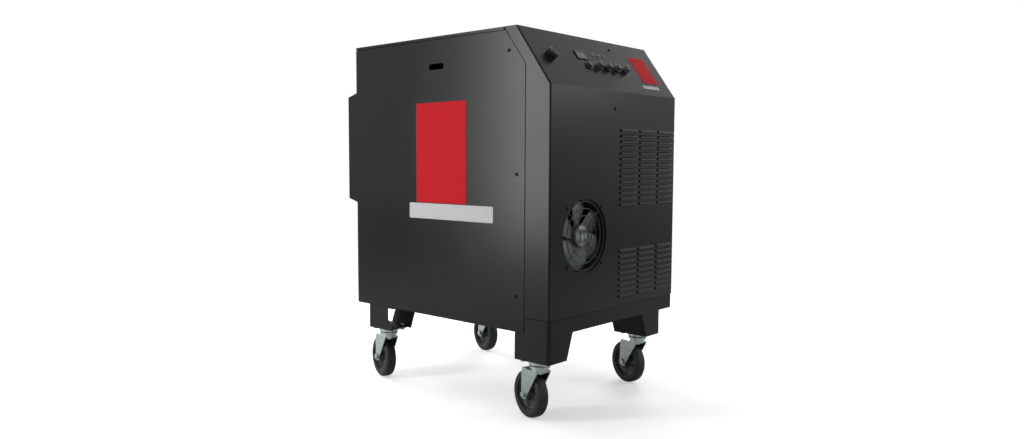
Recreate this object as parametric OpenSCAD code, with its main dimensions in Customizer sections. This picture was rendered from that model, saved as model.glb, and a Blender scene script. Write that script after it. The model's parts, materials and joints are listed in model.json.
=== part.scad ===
// Plasma cutter power unit: a sheet-steel cabinet with a sloped console, a cooling fan, louvres,
// a rear intake hood and four swivel casters. Millimetres, +Z up, front towards -Y.
// The origin is on the floor, under the middle of the unit's bounding box.

/* [Cabinet] */
// Width of the cabinet
body_w = 600; // [590:2:640]
// Length of the cabinet from its front face to its rear face
body_len = 770; // [750:5:820]
// Height of the cabinet from its underside to its top
body_h = 789; // [780:1:830]
// Thickness of the cabinet's sheet steel
sheet_t = 2; // [1.5:0.25:2.5]
// Outer radius of the bends at the front corners
bend_r = 4; // [3:0.5:8]
// Gap between neighbouring panels
panel_gap = 3; // [1:0.25:3]
// Depth of the top panel's down-turned rim
rim_h = 8; // [6:1:12]
// Width of the flanges that lie behind a side panel's edge
flange_w = 45; // [40:1:60]

/* [Sloped console] */
// How far the slope's top edge lies behind the front face
slope_run = 112; // [100:1:120]
// Height from the slope's foot to the top of the cabinet
slope_drop = 154; // [145:1:165]
// Width of the front panel's wrap on each side
strip_w = 80; // [66:1:80]
// Height of the wrap's corner above the slope's foot
strip_rise = 55; // [45:1:60]
// Level width of the wrap at the top of the slope
strip_top_w = 42; // [34:1:44]

/* [Base and legs] */
// Height of the base band at the front
band_h = 40; // [34:1:50]
// Thickness of the floor plate and of the legs
plate_t = 3; // [2.5:0.5:4]
// Height of the base's up-turned flanges above the floor plate
upstand_h = 27; // [20:1:32]
// Height of a leg below the cabinet
leg_h = 71; // [60:1:90]
// Length of a leg front to back
leg_len = 114; // [110:1:130]
// Width of a leg at its bottom edge
leg_w = 75; // [75:1:85]
// How much wider a leg is at its top edge
leg_flare = 25; // [15:1:30]
// Outer radius of a leg's corner and of the base band's corner
leg_r = 10; // [6:1:14]
// Distance of the right legs from the cabinet's right side
right_leg_inset = 66; // [0:1:80]
// Distance of the rear legs from the cabinet's rear face
rear_leg_inset = 50; // [30:1:70]
// Length of the relief in a rear leg's outer plate
relief_len = 22; // [12:1:26]
// Height of the web left under a rear leg's relief
relief_web = 26; // [16:1:34]

/* [Casters] */
// Diameter of a caster wheel
wheel_d = 127; // [100:1:130]
// Width of the tread
wheel_w = 32; // [28:1:34]
// Width over the wheel's hub
hub_w = 36; // [34:1:40]
// Distance of the axle behind the swivel axis
caster_trail = 40; // [36:1:44]
// Angle that the casters are turned to at rest
caster_toe = 16; // [0:1:30]
// Diameter of the wheel's axle bolt
axle_d = 10; // [8:1:12]
// Diameter of the kingpin
kingpin_d = 12; // [10:1:14]
// Height of the gap between the wheel and the fork's crown
crown_clear = 4; // [3:0.5:8]
// Thickness of the fork's sheet
fork_t = 3.5; // [3:0.5:4.5]
// Height of the lower race on the fork's crown
lower_race_h = 13; // [10:1:16]
// Height of the upper race under the caster plate
upper_race_h = 13; // [10:1:16]
// Outer diameter of the upper race
race_d = 58; // [52:1:60]
// Width of a caster plate
caster_plate_w = 62; // [60:1:64]
// Length of a caster plate
caster_plate_l = 95; // [92:1:100]
// Thickness of a caster plate
caster_plate_t = 5; // [4:0.5:6]
// Distance of the swivel axis from a leg's outer face
kingpin_in = 34.5; // [34.5:0.5:36]
// Spacing of the caster bolts across the unit
caster_bolt_x = 45; // [42:1:46]
// Spacing of the caster bolts along the unit
caster_bolt_y = 75; // [72:1:78]

/* [Cooling fan] */
// Distance of the fan's centre from the cabinet's left side
fan_x = 148; // [140:1:156]
// Height of the fan's centre above the cabinet's underside
fan_z = 248; // [240:1:260]
// Diameter of the fan opening
fan_open_d = 196; // [180:1:200]
// Diameter of the impeller
impeller_d = 184; // [160:1:186]
// Diameter of the impeller's hub
fan_hub_d = 56; // [50:1:62]
// Number of blades
blade_count = 6; // [4:1:8]
// Pitch of the blades
blade_pitch = 34; // [25:1:40]
// Chord of a blade
blade_chord = 46; // [36:1:50]
// Thickness of a blade
blade_t = 2; // [1.5:0.5:3]
// Bore of the shroud that the impeller turns in
shroud_bore = 192; // [190:1:200]
// Side of the shroud's mounting plate
shroud_side = 226; // [220:1:232]
// Length of the shroud
shroud_len = 40; // [38:1:46]
// Diameter of the fan motor
fan_motor_d = 80; // [70:1:90]
// Length of the fan motor
fan_motor_len = 60; // [50:1:64]
// Wire diameter of the fan guard
guard_wire = 2.5; // [2:0.25:3]
// Number of rings in the fan guard
guard_rings = 5; // [4:1:7]

/* [Louvres] */
// Width of a louvre
louvre_w = 84; // [70:1:86]
// Spacing of the louvre columns
louvre_pitch_x = 97; // [94:1:98]
// Number of louvre columns
louvre_cols = 3; // [1:1:3]
// Distance of the louvres from the cabinet's right side
louvre_margin = 12.5; // [10:0.5:16]
// Spacing of the louvre rows
louvre_pitch_z = 15.8; // [14:0.1:16.4]
// Height of the open slot under a louvre
louvre_slot = 6; // [4:0.5:7]
// How far a louvre stands proud of the front face
louvre_proud = 5; // [3:0.5:6]
// Height of the upper bank's lowest louvre above the cabinet's underside
upper_bank_z = 322; // [300:1:330]
// Rows in the upper bank
upper_rows = 14; // [6:1:14]
// Height of the lower bank's lowest louvre above the cabinet's underside
lower_bank_z = 66; // [60:1:90]
// Rows in the lower bank
lower_rows = 9; // [4:1:10]

/* [Console controls] */
// Distance of the coolant cap from the cabinet's left side
cap_u = 72; // [60:1:90]
// Distance of the coolant cap up the slope
cap_v = 100; // [80:1:110]
// Diameter of the coolant cap
cap_d = 32; // [30:1:44]
// Height of the coolant cap
cap_h = 18; // [17:1:24]
// Outer diameter of the filler neck
neck_d = 22; // [18:1:24]
// Lift of the cap for one turn
cap_pitch = 6; // [4:1:8]
// Distance of the first control from the cabinet's left side
control_u = 226; // [220:1:240]
// Distance of the row of controls up the slope
control_v = 84; // [70:1:86]
// Spacing of the row of controls
control_pitch = 43; // [34:1:46]
// Diameter of a knob
knob_d = 24; // [18:1:28]
// Height of a knob
knob_h = 16; // [14:1:20]
// Diameter of a knob's shaft
knob_shaft_d = 6; // [5:0.5:8]
// Side of a control's body behind the console
module_side = 28; // [26:1:30]
// Depth of a control's body behind the console
module_depth = 26; // [26:1:30]
// Diameter of the power button
button_d = 18; // [14:1:20]
// Travel of the power button
button_travel = 4; // [2:0.5:4]
// Width of the display
display_w = 50; // [40:1:56]
// Height of the display
display_h = 30; // [24:1:32]
// Distance of the display's centre from the cabinet's left side
display_u = 216; // [210:1:226]
// Distance of the display's centre up the slope
display_v = 118; // [118:1:128]
// Diameter of an indicator lamp
lamp_d = 8; // [6:1:10]
// Spacing of the indicator lamps
lamp_pitch = 26; // [20:1:30]

/* [Side panel details] */
// Distance of the hand slot behind the front face
pull_y = 410; // [380:1:450]
// Distance of the hand slot below the top
pull_drop = 83; // [70:1:110]
// Length of the hand slot
pull_len = 60; // [50:1:90]
// Height of the hand slot
pull_h = 17; // [16:1:24]
// Distance of the side screws behind the panel's front edge
side_screw_in = 27; // [20:1:32]
// Height of the lowest side screw above the cabinet's underside
side_screw_z = 93; // [80:1:110]
// Distance of the top side screws below the top
side_screw_drop = 62; // [50:1:80]

/* [Rear] */
// Depth of the rear intake hood
hood_depth = 45; // [42:1:60]
// Distance of the hood's top edge below the top
hood_drop = 136; // [120:1:150]
// Height of the hood's foot above the cabinet's underside
hood_z = 313; // [305:1:340]
// How far the hood's top and foot slope inwards
hood_rake = 13; // [6:1:20]
// Number of intake slots in the rear panel
intake_slots = 12; // [6:1:14]
// Height of the glands and sockets above the cabinet's underside
gland_z = 248; // [240:1:262]
// Bore of the power cable gland
power_bore = 30; // [20:1:32]
// Bore of the torch lead gland
torch_bore = 38; // [30:1:40]
// Distance of the gas inlets below the top
gas_drop = 66; // [60:1:80]
// Diameter of the gas inlets' thread
gas_thread_d = 16; // [12:1:18]

/* [Coolant circuit] */
// Width of the coolant tank
tank_w = 170; // [150:1:190]
// Length of the coolant tank's floor
tank_len = 280; // [240:1:300]
// Headroom over the coolant tank
tank_headroom = 33; // [25:1:60]
// Height of the tank's shelf above the radiator
shelf_clear = 57; // [50:1:60]
// Distance of the tank's sloped face behind the console
tank_setback = 40; // [36:1:50]
// Side of the radiator's core
radiator_side = 230; // [200:1:236]
// Depth of the radiator's core
radiator_depth = 50; // [40:1:60]
// Distance of the radiator behind the front face
radiator_y = 120; // [118:1:130]
// Diameter of the pump motor
pump_motor_d = 124; // [110:1:130]
// Length of the pump motor
pump_motor_len = 190; // [160:1:200]
// Diameter of the pump head
pump_head_d = 92; // [80:1:100]
// Length of the pump head
pump_head_len = 60; // [50:1:70]
// Diameter of the pump's shaft
pump_shaft_d = 12; // [10:1:14]
// Length of the coupling between the motor and the pump
coupling_len = 30; // [26:1:36]
// Diameter of the coolant pipes
pipe_d = 18; // [14:1:20]

/* [Power circuit] */
// Length of the transformer's core
core_len = 320; // [300:1:330]
// Height of the transformer's core
core_h = 260; // [240:1:280]
// Thickness of the transformer's stack
core_t = 80; // [70:1:90]
// Width of a transformer leg and yoke
core_leg = 50; // [44:1:54]
// Thickness of a coil's winding
coil_t = 24; // [18:1:26]
// Outer diameter of an inductor
inductor_d = 130; // [110:1:136]
// Height of an inductor
inductor_h = 90; // [70:1:120]
// Diameter of a capacitor
cap_can_d = 76; // [60:1:80]
// Length of a capacitor
cap_can_len = 110; // [90:1:130]
// Length of the heat sink
sink_len = 280; // [250:1:290]
// Height of the heat sink
sink_h = 190; // [160:1:200]
// Length of the control board
board_len = 210; // [180:1:220]
// Height of the control board
board_h = 300; // [260:1:310]
// Number of fins on the heat sink
fin_count = 14; // [8:1:16]

/* [Fits and fasteners] */
// Radial clearance of a running fit
running_clear = 0.05; // [0.02:0.01:0.1]
// Radial clearance of a part that moves freely in an opening
free_clear = 0.5; // [0.4:0.1:0.8]
// Gap between stacked moving faces
face_gap = 0.3; // [0.2:0.05:0.5]
// Radial clearance of a bolt in its hole
bolt_clear = 0.25; // [0.1:0.05:0.5]
// Diameter of the frame bolts
bolt_d = 8; // [6:1:8]
// Diameter of the panel screws
screw_d = 5; // [4:0.5:6]

/* [Hidden] */
$fn = 48;
over = 1;             // how far a cutter runs past the face it cuts
panel_black = "#2b2c2e";
frame_black = "#26282a";
zinc = "#b9bfbf";

// Heights from the floor up
crown_foot_z = wheel_d + crown_clear;
crown_top_z = crown_foot_z + fork_t + lower_race_h;
caster_plate_z = crown_top_z + face_gap + upper_race_h;
leg_foot_z = caster_plate_z;
seat_z = caster_plate_z + caster_plate_t;
body_foot_z = leg_foot_z + leg_h;
floor_top_z = body_foot_z + plate_t;
body_top_z = body_foot_z + body_h;
sheet_top_z = body_top_z - sheet_t;      // underside of the top sheet
side_top_z = body_top_z - rim_h - panel_gap / 2;
side_foot_z = body_foot_z + panel_gap / 2;
panel_foot_z = body_foot_z + band_h + panel_gap / 2;
slope_foot_z = body_top_z - slope_drop;
strip_corner_z = slope_foot_z + strip_rise;
strip_top_y = slope_run + strip_top_w;

slope_angle = atan(slope_run / slope_drop);
slope_len = sqrt(slope_run * slope_run + slope_drop * slope_drop);

// The front face lies this far from the origin, so that the origin is under the middle
unit_len = louvre_proud + body_len + hood_depth;
front_y = louvre_proud - unit_len / 2;
half_w = body_w / 2;
in_w = half_w - sheet_t;                 // inner face of a side panel
rear_in_y = body_len - sheet_t;          // inner face of the rear panel

fan_cx = fan_x - half_w;
fan_cz = body_foot_z + fan_z;
guard_y = sheet_t + guard_wire / 2 + 0.4;
shroud_y = sheet_t + 2 * guard_wire;
impeller_len = blade_chord * sin(blade_pitch) + blade_t * cos(blade_pitch) + 3;
impeller_y = shroud_y + 3;
fan_motor_y = impeller_y + impeller_len + 5;
bulkhead_x = fan_cx + shroud_side / 2 + 26;
bulkhead_y = slope_run + 48;
shelf_z = fan_cz + radiator_side / 2 + shelf_clear;
tank_front_y = tank_setback / cos(slope_angle);
tank_top_z = sheet_top_z - tank_headroom;
tank_x = 10 - half_w;
pump_x = fan_cx - 40;
pump_z = floor_top_z + pump_motor_d / 2 + 14;
pump_motor_y = radiator_y + radiator_depth + 62;
coupling_y = pump_motor_y + pump_motor_len;
pump_head_y = coupling_y + coupling_len;
radiator_foot_z = fan_cz - radiator_side / 2;
neck_base = tank_setback + 6;            // the neck's root, inside the tank's sloped face
neck_proud = 11;
seal_t = 2.5;
seal_foot = neck_proud + face_gap;
cap_roof = seal_foot + seal_t + face_gap;
lamp_v = display_v + 10;
lamp_u = display_u + display_w / 2 + 38;
hood_foot_z = body_foot_z + hood_z;
hood_h = body_h - hood_z - hood_drop;
gland_cz = body_foot_z + gland_z;
torch_x = bulkhead_x - 68;
power_x = bulkhead_x + 162;
socket_x = bulkhead_x + 72;
breaker_x = bulkhead_x + 232;
gas_x = [95 - half_w, 165 - half_w];
gas_z = body_top_z - gas_drop;
knob_foot = 1.5;

module in_cabinet() {
    translate([0, front_y, 0]) children();
}

// Local frame on the console: x from the cabinet's middle, y inwards, z up the slope
module on_console() {
    in_cabinet()
    translate([0, 0, slope_foot_z])
    rotate([-slope_angle, 0, 0])
    children();
}

// A side view, drawn as [y, z], extruded from x_low to x_high
module side_extrude(x_low, x_high) {
    translate([x_low, 0, 0])
    rotate([90, 0, 90])
    linear_extrude(x_high - x_low)
    children();
}

// A front view, drawn as [x, z], extruded from y_low to y_high
module front_extrude(y_low, y_high) {
    translate([0, y_high, 0])
    rotate([90, 0, 0])
    linear_extrude(y_high - y_low)
    children();
}

// A cylinder along +Y
module y_cylinder(d, len) {
    rotate([-90, 0, 0])
    cylinder(d = d, h = len);
}

// A cylinder along +X
module x_cylinder(d, len) {
    rotate([0, 90, 0])
    cylinder(d = d, h = len);
}

module box(x, y, z) {
    translate([x[0], y[0], z[0]])
    cube([x[1] - x[0], y[1] - y[0], z[1] - z[0]]);
}

module rounded_front_2d(w, d, r) {
    translate([-w / 2, r])
    square([w, d - r]);
    translate([r - w / 2, 0])
    square([w - 2 * r, 2 * r]);
    for (s = [-1, 1])
        translate([s * (w / 2 - r), r])
        circle(r);
}

// Plan of a sheet folded round the front corners, open at the back
module channel_2d(w, d, r, t) {
    difference() {
        rounded_front_2d(w, d, r);
        translate([0, t])
        rounded_front_2d(w - 2 * t, d, max(r - t, 0.2));
    }
}

module slot_2d(len, h) {
    square([len - h, h], center = true);
    for (s = [-1, 1])
        translate([s * (len - h) / 2, 0])
        circle(d = h);
}

// ---- base and legs ----
module base_pan() {
    upstand_z = floor_top_z + upstand_h;
    upstand_end = body_len - sheet_t - flange_w;
    color(frame_black)
    in_cabinet()
    difference() {
        union() {
            translate([0, 0, body_foot_z])
            linear_extrude(band_h)
            channel_2d(body_w, strip_w, leg_r, sheet_t);
            translate([0, 0, body_foot_z])
            linear_extrude(plate_t)
            union() {
                rounded_front_2d(body_w, strip_w, leg_r);
                translate([-in_w, leg_r])
                square([2 * in_w, rear_in_y - leg_r]);
            }
            box([leg_r - half_w, half_w - leg_r], [sheet_t, 2 * sheet_t],
                [floor_top_z, panel_foot_z + 12]);
            for (s = [-1, 1])
                mirror([s < 0 ? 1 : 0, 0, 0])
                box([in_w - sheet_t, in_w], [leg_r + sheet_t, upstand_end],
                    [floor_top_z, upstand_z]);
            box([sheet_t - in_w, in_w - sheet_t], [rear_in_y - sheet_t, rear_in_y],
                [floor_top_z, upstand_z]);
        }
        leg_bolt_holes();
    }
}

// Places children at each leg's outer corner, with +x and +y running into the leg
module at_legs(which = [0, 1, 2, 3]) {
    for (i = which) {
        right = i == 1 || i == 3;
        rear = i >= 2;
        translate([right ? half_w - right_leg_inset : -half_w,
                   rear ? body_len - rear_leg_inset : 0, 0])
        mirror([right ? 1 : 0, 0, 0])
        mirror([0, rear ? 1 : 0, 0])
        children();
    }
}

leg_bolt_spots = [[24, 20], [64, 20], [24, leg_len - 20], [64, leg_len - 20]];

module leg_bolt_holes() {
    at_legs()
    for (p = leg_bolt_spots)
        translate([p[0], p[1], body_foot_z - plate_t - over])
        cylinder(d = bolt_d + 2 * bolt_clear, h = 2 * plate_t + 2 * over);
}

module caster_bolt_spots() {
    for (x = [-1, 1], y = [-1, 1])
        translate([kingpin_in + x * caster_bolt_x / 2, leg_len / 2 + y * caster_bolt_y / 2, 0])
        children();
}

module leg_shell(is_rear) {
    flare_at_seat = leg_flare * caster_plate_t / leg_h;
    inner_w = plate_t * 1.06;
    outer_2d = is_rear
        ? [[0, leg_foot_z], [leg_len, leg_foot_z], [leg_len, leg_foot_z + relief_web - 5],
           [leg_len - relief_len, leg_foot_z + relief_web], [leg_len - relief_len, body_foot_z],
           [0, body_foot_z]]
        : [[0, leg_foot_z], [leg_len, leg_foot_z], [leg_len, body_foot_z], [0, body_foot_z]];
    difference() {
        intersection() {
            union() {
                side_extrude(0, plate_t)
                polygon(outer_2d);
                if (!is_rear)
                    front_extrude(0, plate_t)
                    polygon([[0, leg_foot_z], [leg_w, leg_foot_z],
                             [leg_w + leg_flare, body_foot_z], [0, body_foot_z]]);
                front_extrude(is_rear ? relief_len + over : 0, leg_len)
                polygon([[leg_w - inner_w, leg_foot_z], [leg_w, leg_foot_z],
                         [leg_w + leg_flare, body_foot_z],
                         [leg_w + leg_flare - inner_w, body_foot_z]]);
                front_extrude(0, leg_len)
                polygon([[0, seat_z], [leg_w + flare_at_seat - inner_w / 2, seat_z],
                         [leg_w + flare_at_seat - inner_w / 2, seat_z + plate_t],
                         [0, seat_z + plate_t]]);
                box([0, leg_w + leg_flare - inner_w], [0, leg_len],
                    [body_foot_z - plate_t, body_foot_z]);
            }
            translate([0, 0, leg_foot_z - over])
            linear_extrude(leg_h + 2 * over)
            union() {
                translate([leg_r, leg_r])
                circle(leg_r);
                translate([leg_r, 0])
                square([leg_w + leg_flare, leg_len]);
                translate([0, leg_r])
                square([leg_w + leg_flare, leg_len]);
            }
        }
        for (p = leg_bolt_spots)
            translate([p[0], p[1], body_foot_z - plate_t - over])
            cylinder(d = bolt_d + 2 * bolt_clear, h = plate_t + 2 * over);
        caster_bolt_spots()
        translate([0, 0, seat_z - over])
        cylinder(d = bolt_d + 2 * bolt_clear, h = plate_t + 2 * over);
    }
}

module leg(i) {
    color(frame_black)
    in_cabinet()
    at_legs([i])
    leg_shell(i >= 2);
}

module leg_front_left() {
    leg(0);
}

module leg_front_right() {
    leg(1);
}

module leg_rear_left() {
    leg(2);
}

module leg_rear_right() {
    leg(3);
}

// ---- cabinet panels ----
function mitre_z(y) = slope_foot_z - y * tan(slope_angle / 2);
function groove_y(z) = z < strip_corner_z ? strip_w
    : strip_w + (z - strip_corner_z) * (strip_top_y - strip_w) / (sheet_top_z - strip_corner_z);

function slope_y(z, depth) = (z - slope_foot_z) * tan(slope_angle) + depth / cos(slope_angle);

// The cabinet's front as one solid, its faces set in by a depth, with rounded side corners
module front_solid(depth) {
    reach = 300;
    roof_z = sheet_top_z + reach / 10;
    width = body_w - 2 * depth;
    intersection() {
        side_extrude(-width / 2, width / 2)
        polygon([[depth, panel_foot_z - reach], [depth, mitre_z(depth)],
                 [slope_y(roof_z, depth), roof_z], [reach, roof_z], [reach, panel_foot_z - reach]]);
        translate([0, depth, panel_foot_z - reach])
        linear_extrude(body_h + reach)
        rounded_front_2d(width, reach, bend_r - depth);
        translate([0, 0, slope_foot_z])
        rotate([-slope_angle, 0, 0])
        translate([0, depth, -body_h - reach])
        linear_extrude(body_h + 2 * reach)
        rounded_front_2d(width, body_h, bend_r - 1.3 * depth);
    }
}

module front_sheet() {
    intersection() {
        difference() {
            front_solid(0);
            front_solid(sheet_t);
        }
        side_extrude(-half_w - over, half_w + over)
        polygon([[-over, panel_foot_z], [strip_w, panel_foot_z], [strip_w, strip_corner_z],
                 [strip_top_y, sheet_top_z], [-over, sheet_top_z]]);
    }
}

// Flanges that the side panels lie on and are screwed to
module front_backing() {
    lap = 12;
    for (s = [-1, 1])
        mirror([s < 0 ? 1 : 0, 0, 0])
        side_extrude(in_w - sheet_t, in_w)
        polygon([[strip_w - lap, panel_foot_z], [strip_w + flange_w, panel_foot_z],
                 [strip_w + flange_w, strip_corner_z],
                 [groove_y(side_top_z) + flange_w, side_top_z],
                 [groove_y(side_top_z) - lap, side_top_z],
                 [strip_w - lap, strip_corner_z]]);
}

hood_t = 1.3;
louvre_banks = [[body_foot_z + upper_bank_z, upper_rows], [body_foot_z + lower_bank_z, lower_rows]];

module at_louvre_columns() {
    for (i = [0 : louvre_cols - 1])
        translate([half_w - louvre_margin - louvre_w - i * louvre_pitch_x, 0, 0])
        children();
}

// Side view of one louvre hood, or of the space inside it, with the opening at its foot
module hood_2d(hollow) {
    if (hollow)
        polygon([[over, louvre_slot + 1], [hood_t - louvre_proud, hood_t / 2],
                 [hood_t - louvre_proud, -over], [over, -over]]);
    else
        polygon([[over, louvre_slot + 3.5], [-louvre_proud, hood_t / 2 + 0.4],
                 [-louvre_proud, 0], [over, 0]]);
}

module louvre_hoods() {
    at_louvre_columns()
    for (bank = louvre_banks, j = [0 : bank[1] - 1])
        translate([0, 0, bank[0] + j * louvre_pitch_z])
        difference() {
            side_extrude(0, louvre_w)
            hood_2d(false);
            side_extrude(hood_t, louvre_w - hood_t)
            hood_2d(true);
        }
}

module louvre_slots() {
    at_louvre_columns()
    front_extrude(-over / 4, sheet_t + over)
    for (bank = louvre_banks, j = [0 : bank[1] - 1])
        translate([hood_t, bank[0] + j * louvre_pitch_z])
        square([louvre_w - 2 * hood_t, louvre_slot]);
}

side_screw_ends = [body_foot_z + side_screw_z, body_top_z - side_screw_drop];
side_screw_zs = [side_screw_ends[0], (side_screw_ends[0] + side_screw_ends[1]) / 2, side_screw_ends[1]];

module side_screw_spots() {
    for (s = [-1, 1], z = side_screw_zs)
        translate([s * half_w, groove_y(z) + panel_gap + side_screw_in, z])
        rotate([0, s * 90, 0])
        children();
}

front_screw_spot = [281 - half_w, body_top_z - 201];
console_screw_spot = [382 - half_w, 159];
guard_screw_r = fan_open_d / 2 + 9;

module front_panel() {
    color(panel_black)
    in_cabinet()
    difference() {
        union() {
            front_sheet();
            front_backing();
            louvre_hoods();
        }
        louvre_slots();
        translate([fan_cx, -over, fan_cz])
        y_cylinder(fan_open_d, sheet_t + 2 * over);
        for (a = [45 : 90 : 315])
            translate([fan_cx + guard_screw_r * cos(a), -over, fan_cz + guard_screw_r * sin(a)])
            y_cylinder(screw_d + 2 * bolt_clear, sheet_t + 2 * over);
        translate([front_screw_spot[0], -over, front_screw_spot[1]])
        y_cylinder(screw_d + 2 * bolt_clear, sheet_t + 2 * over);
        side_screw_spots()
        translate([0, 0, -3 * sheet_t])
        cylinder(d = screw_d + 2 * bolt_clear, h = 4 * sheet_t);
        translate([0, 0, slope_foot_z])
        rotate([-slope_angle, 0, 0])
        console_holes();
    }
}

// Places children at control number i of the console's row
module at_control(i) {
    translate([control_u + i * control_pitch - half_w, 0, control_v])
    children();
}

module console_holes() {
    translate([cap_u - half_w, -over, cap_v])
    y_cylinder(neck_d + 6, sheet_t + 2 * over);
    at_control(0)
    translate([0, -over, 0])
    y_cylinder(button_d + 6, sheet_t + 2 * over);
    for (i = [1 : 4])
        at_control(i)
        translate([0, -over, 0])
        y_cylinder(knob_shaft_d + 4, sheet_t + 2 * over);
    translate([display_u - half_w, -over, display_v])
    front_extrude(0, sheet_t + 2 * over)
    square([display_w - 6, display_h - 6], center = true);
    at_lamps()
    translate([0, -over, 0])
    y_cylinder(lamp_d - 3 + 2 * bolt_clear, sheet_t + 2 * over);
    translate([console_screw_spot[0], -over, console_screw_spot[1]])
    y_cylinder(screw_d + 2 * bolt_clear, sheet_t + 2 * over);
}

module at_lamps() {
    for (i = [0 : 2])
        translate([lamp_u + i * lamp_pitch - half_w, 0, lamp_v])
        children();
}

module side_panel() {
    lip = 2;
    difference() {
        union() {
            side_extrude(in_w, half_w)
            polygon([[strip_w + panel_gap, side_foot_z], [strip_w + panel_gap, strip_corner_z],
                     [groove_y(side_top_z) + panel_gap, side_top_z], [body_len, side_top_z],
                     [body_len, side_foot_z]]);
            side_extrude(in_w - 6, in_w + over / 2)
            translate([pull_y, body_top_z - pull_drop])
            slot_2d(pull_len + 2 * lip, pull_h + 2 * lip);
        }
        side_extrude(in_w - 6 - over, half_w + over)
        translate([pull_y, body_top_z - pull_drop])
        slot_2d(pull_len, pull_h);
        side_screw_spots()
        translate([0, 0, -3 * sheet_t])
        cylinder(d = screw_d + 2 * bolt_clear, h = 4 * sheet_t);
    }
}

module right_side_panel() {
    color(panel_black)
    in_cabinet()
    side_panel();
}

module left_side_panel() {
    color(panel_black)
    in_cabinet()
    mirror([1, 0, 0])
    side_panel();
}

module top_panel() {
    sheet_front_y = slope_run * (1 - sheet_t / slope_drop);
    color(panel_black)
    in_cabinet() {
        side_extrude(-half_w, half_w)
        polygon([[sheet_front_y, sheet_top_z], [slope_run, body_top_z],
                 [body_len, body_top_z], [body_len, sheet_top_z]]);
        for (s = [-1, 1])
            mirror([s < 0 ? 1 : 0, 0, 0])
            box([in_w, half_w], [strip_top_y + panel_gap, body_len],
                [body_top_z - rim_h, sheet_top_z]);
        box([-in_w, in_w], [rear_in_y, body_len], [body_top_z - rim_h, sheet_top_z]);
    }
}

module rear_panel() {
    slot_w = 14;
    slot_len = hood_h - 100;
    slot_pitch = (body_w - 140) / (intake_slots - 1);
    color(panel_black)
    in_cabinet()
    difference() {
        union() {
            box([-in_w, in_w], [rear_in_y, body_len], [side_foot_z, side_top_z]);
            for (s = [-1, 1])
                mirror([s < 0 ? 1 : 0, 0, 0])
                box([in_w - sheet_t, in_w], [rear_in_y - flange_w + 15, rear_in_y],
                    [side_foot_z + plate_t, side_top_z]);
            box([sheet_t - in_w, in_w - sheet_t], [rear_in_y - sheet_t, rear_in_y],
                [side_top_z - 14, sheet_top_z]);
        }
        front_extrude(rear_in_y - over, body_len + over)
        for (i = [0 : intake_slots - 1])
            translate([(i - (intake_slots - 1) / 2) * slot_pitch, hood_foot_z + hood_h / 2])
            square([slot_w, slot_len], center = true);
        translate([torch_x, rear_in_y - over, gland_cz])
        y_cylinder(torch_bore + 14, sheet_t + 2 * over);
        translate([power_x, rear_in_y - over, gland_cz])
        y_cylinder(power_bore + 14, sheet_t + 2 * over);
        translate([socket_x, rear_in_y - over, gland_cz])
        y_cylinder(32, sheet_t + 2 * over);
        for (x = gas_x)
            translate([x, rear_in_y - over, gas_z])
            y_cylinder(gas_thread_d + 2, sheet_t + 2 * over);
        front_extrude(rear_in_y - over, body_len + over)
        translate([breaker_x, gland_cz])
        square([20, 36], center = true);
    }
}

module rear_hood() {
    wall = 1.5;
    hood_w = body_w - 2 * panel_gap;
    foot = hood_foot_z;
    head = foot + hood_h;
    slot_rows = 12;
    slot_cols = 5;
    slot_gap_z = (hood_h - 90) / (slot_rows - 1);
    slot_gap_x = (hood_w - 130) / (slot_cols - 1);
    color(panel_black)
    in_cabinet()
    difference() {
        side_extrude(-hood_w / 2, hood_w / 2)
        polygon([[body_len, foot], [body_len + hood_depth, foot + hood_rake],
                 [body_len + hood_depth, head - hood_rake], [body_len, head]]);
        side_extrude(wall - hood_w / 2, hood_w / 2 - wall)
        polygon([[body_len - over, foot + wall], [body_len, foot + wall],
                 [body_len + hood_depth - wall, foot + hood_rake + wall],
                 [body_len + hood_depth - wall, head - hood_rake - wall],
                 [body_len, head - wall], [body_len - over, head - wall]]);
        front_extrude(body_len + hood_depth - wall - over, body_len + hood_depth + over)
        for (i = [0 : slot_cols - 1], j = [0 : slot_rows - 1])
            translate([(i - (slot_cols - 1) / 2) * slot_gap_x,
                       foot + hood_h / 2 + (j - (slot_rows - 1) / 2) * slot_gap_z])
            square([80, 8], center = true);
    }
}

module center_bulkhead() {
    shelf_len = tank_front_y + tank_len + 12;
    color("#8d9192")
    in_cabinet() {
        box([bulkhead_x, bulkhead_x + sheet_t], [bulkhead_y, rear_in_y - sheet_t],
            [floor_top_z, sheet_top_z]);
        box([bulkhead_x, bulkhead_x + 26], [bulkhead_y, rear_in_y - sheet_t - 4],
            [floor_top_z, floor_top_z + sheet_t]);
        box([sheet_t + 2 - in_w, bulkhead_x + sheet_t], [tank_front_y - 4, shelf_len],
            [shelf_z, shelf_z + sheet_t]);
        box([sheet_t + 2 - in_w, bulkhead_x + sheet_t], [tank_front_y - 4, tank_front_y - 2],
            [shelf_z - 20, shelf_z + sheet_t]);
    }
}

// ---- fasteners ----
// A pan-head screw whose head rests at z = 0, with its shank running down
module panel_screw(len) {
    cylinder(d = screw_d * 1.9, h = screw_d * 0.45);
    translate([0, 0, -len])
    cylinder(d = screw_d, h = len);
}

module panel_screws() {
    color("#3a3c3e")
    in_cabinet() {
        side_screw_spots()
        panel_screw(sheet_t * 2 + 4);
        translate([front_screw_spot[0], 0, front_screw_spot[1]])
        rotate([90, 0, 0])
        panel_screw(sheet_t + 8);
        for (a = [45 : 90 : 315])
            translate([fan_cx + guard_screw_r * cos(a), 0, fan_cz + guard_screw_r * sin(a)])
            rotate([90, 0, 0])
            panel_screw(shroud_y - 0.5);
        translate([0, 0, slope_foot_z])
        rotate([-slope_angle, 0, 0])
        translate([console_screw_spot[0], 0, console_screw_spot[1]])
        rotate([90, 0, 0])
        panel_screw(sheet_t + 8);
    }
}

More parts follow.
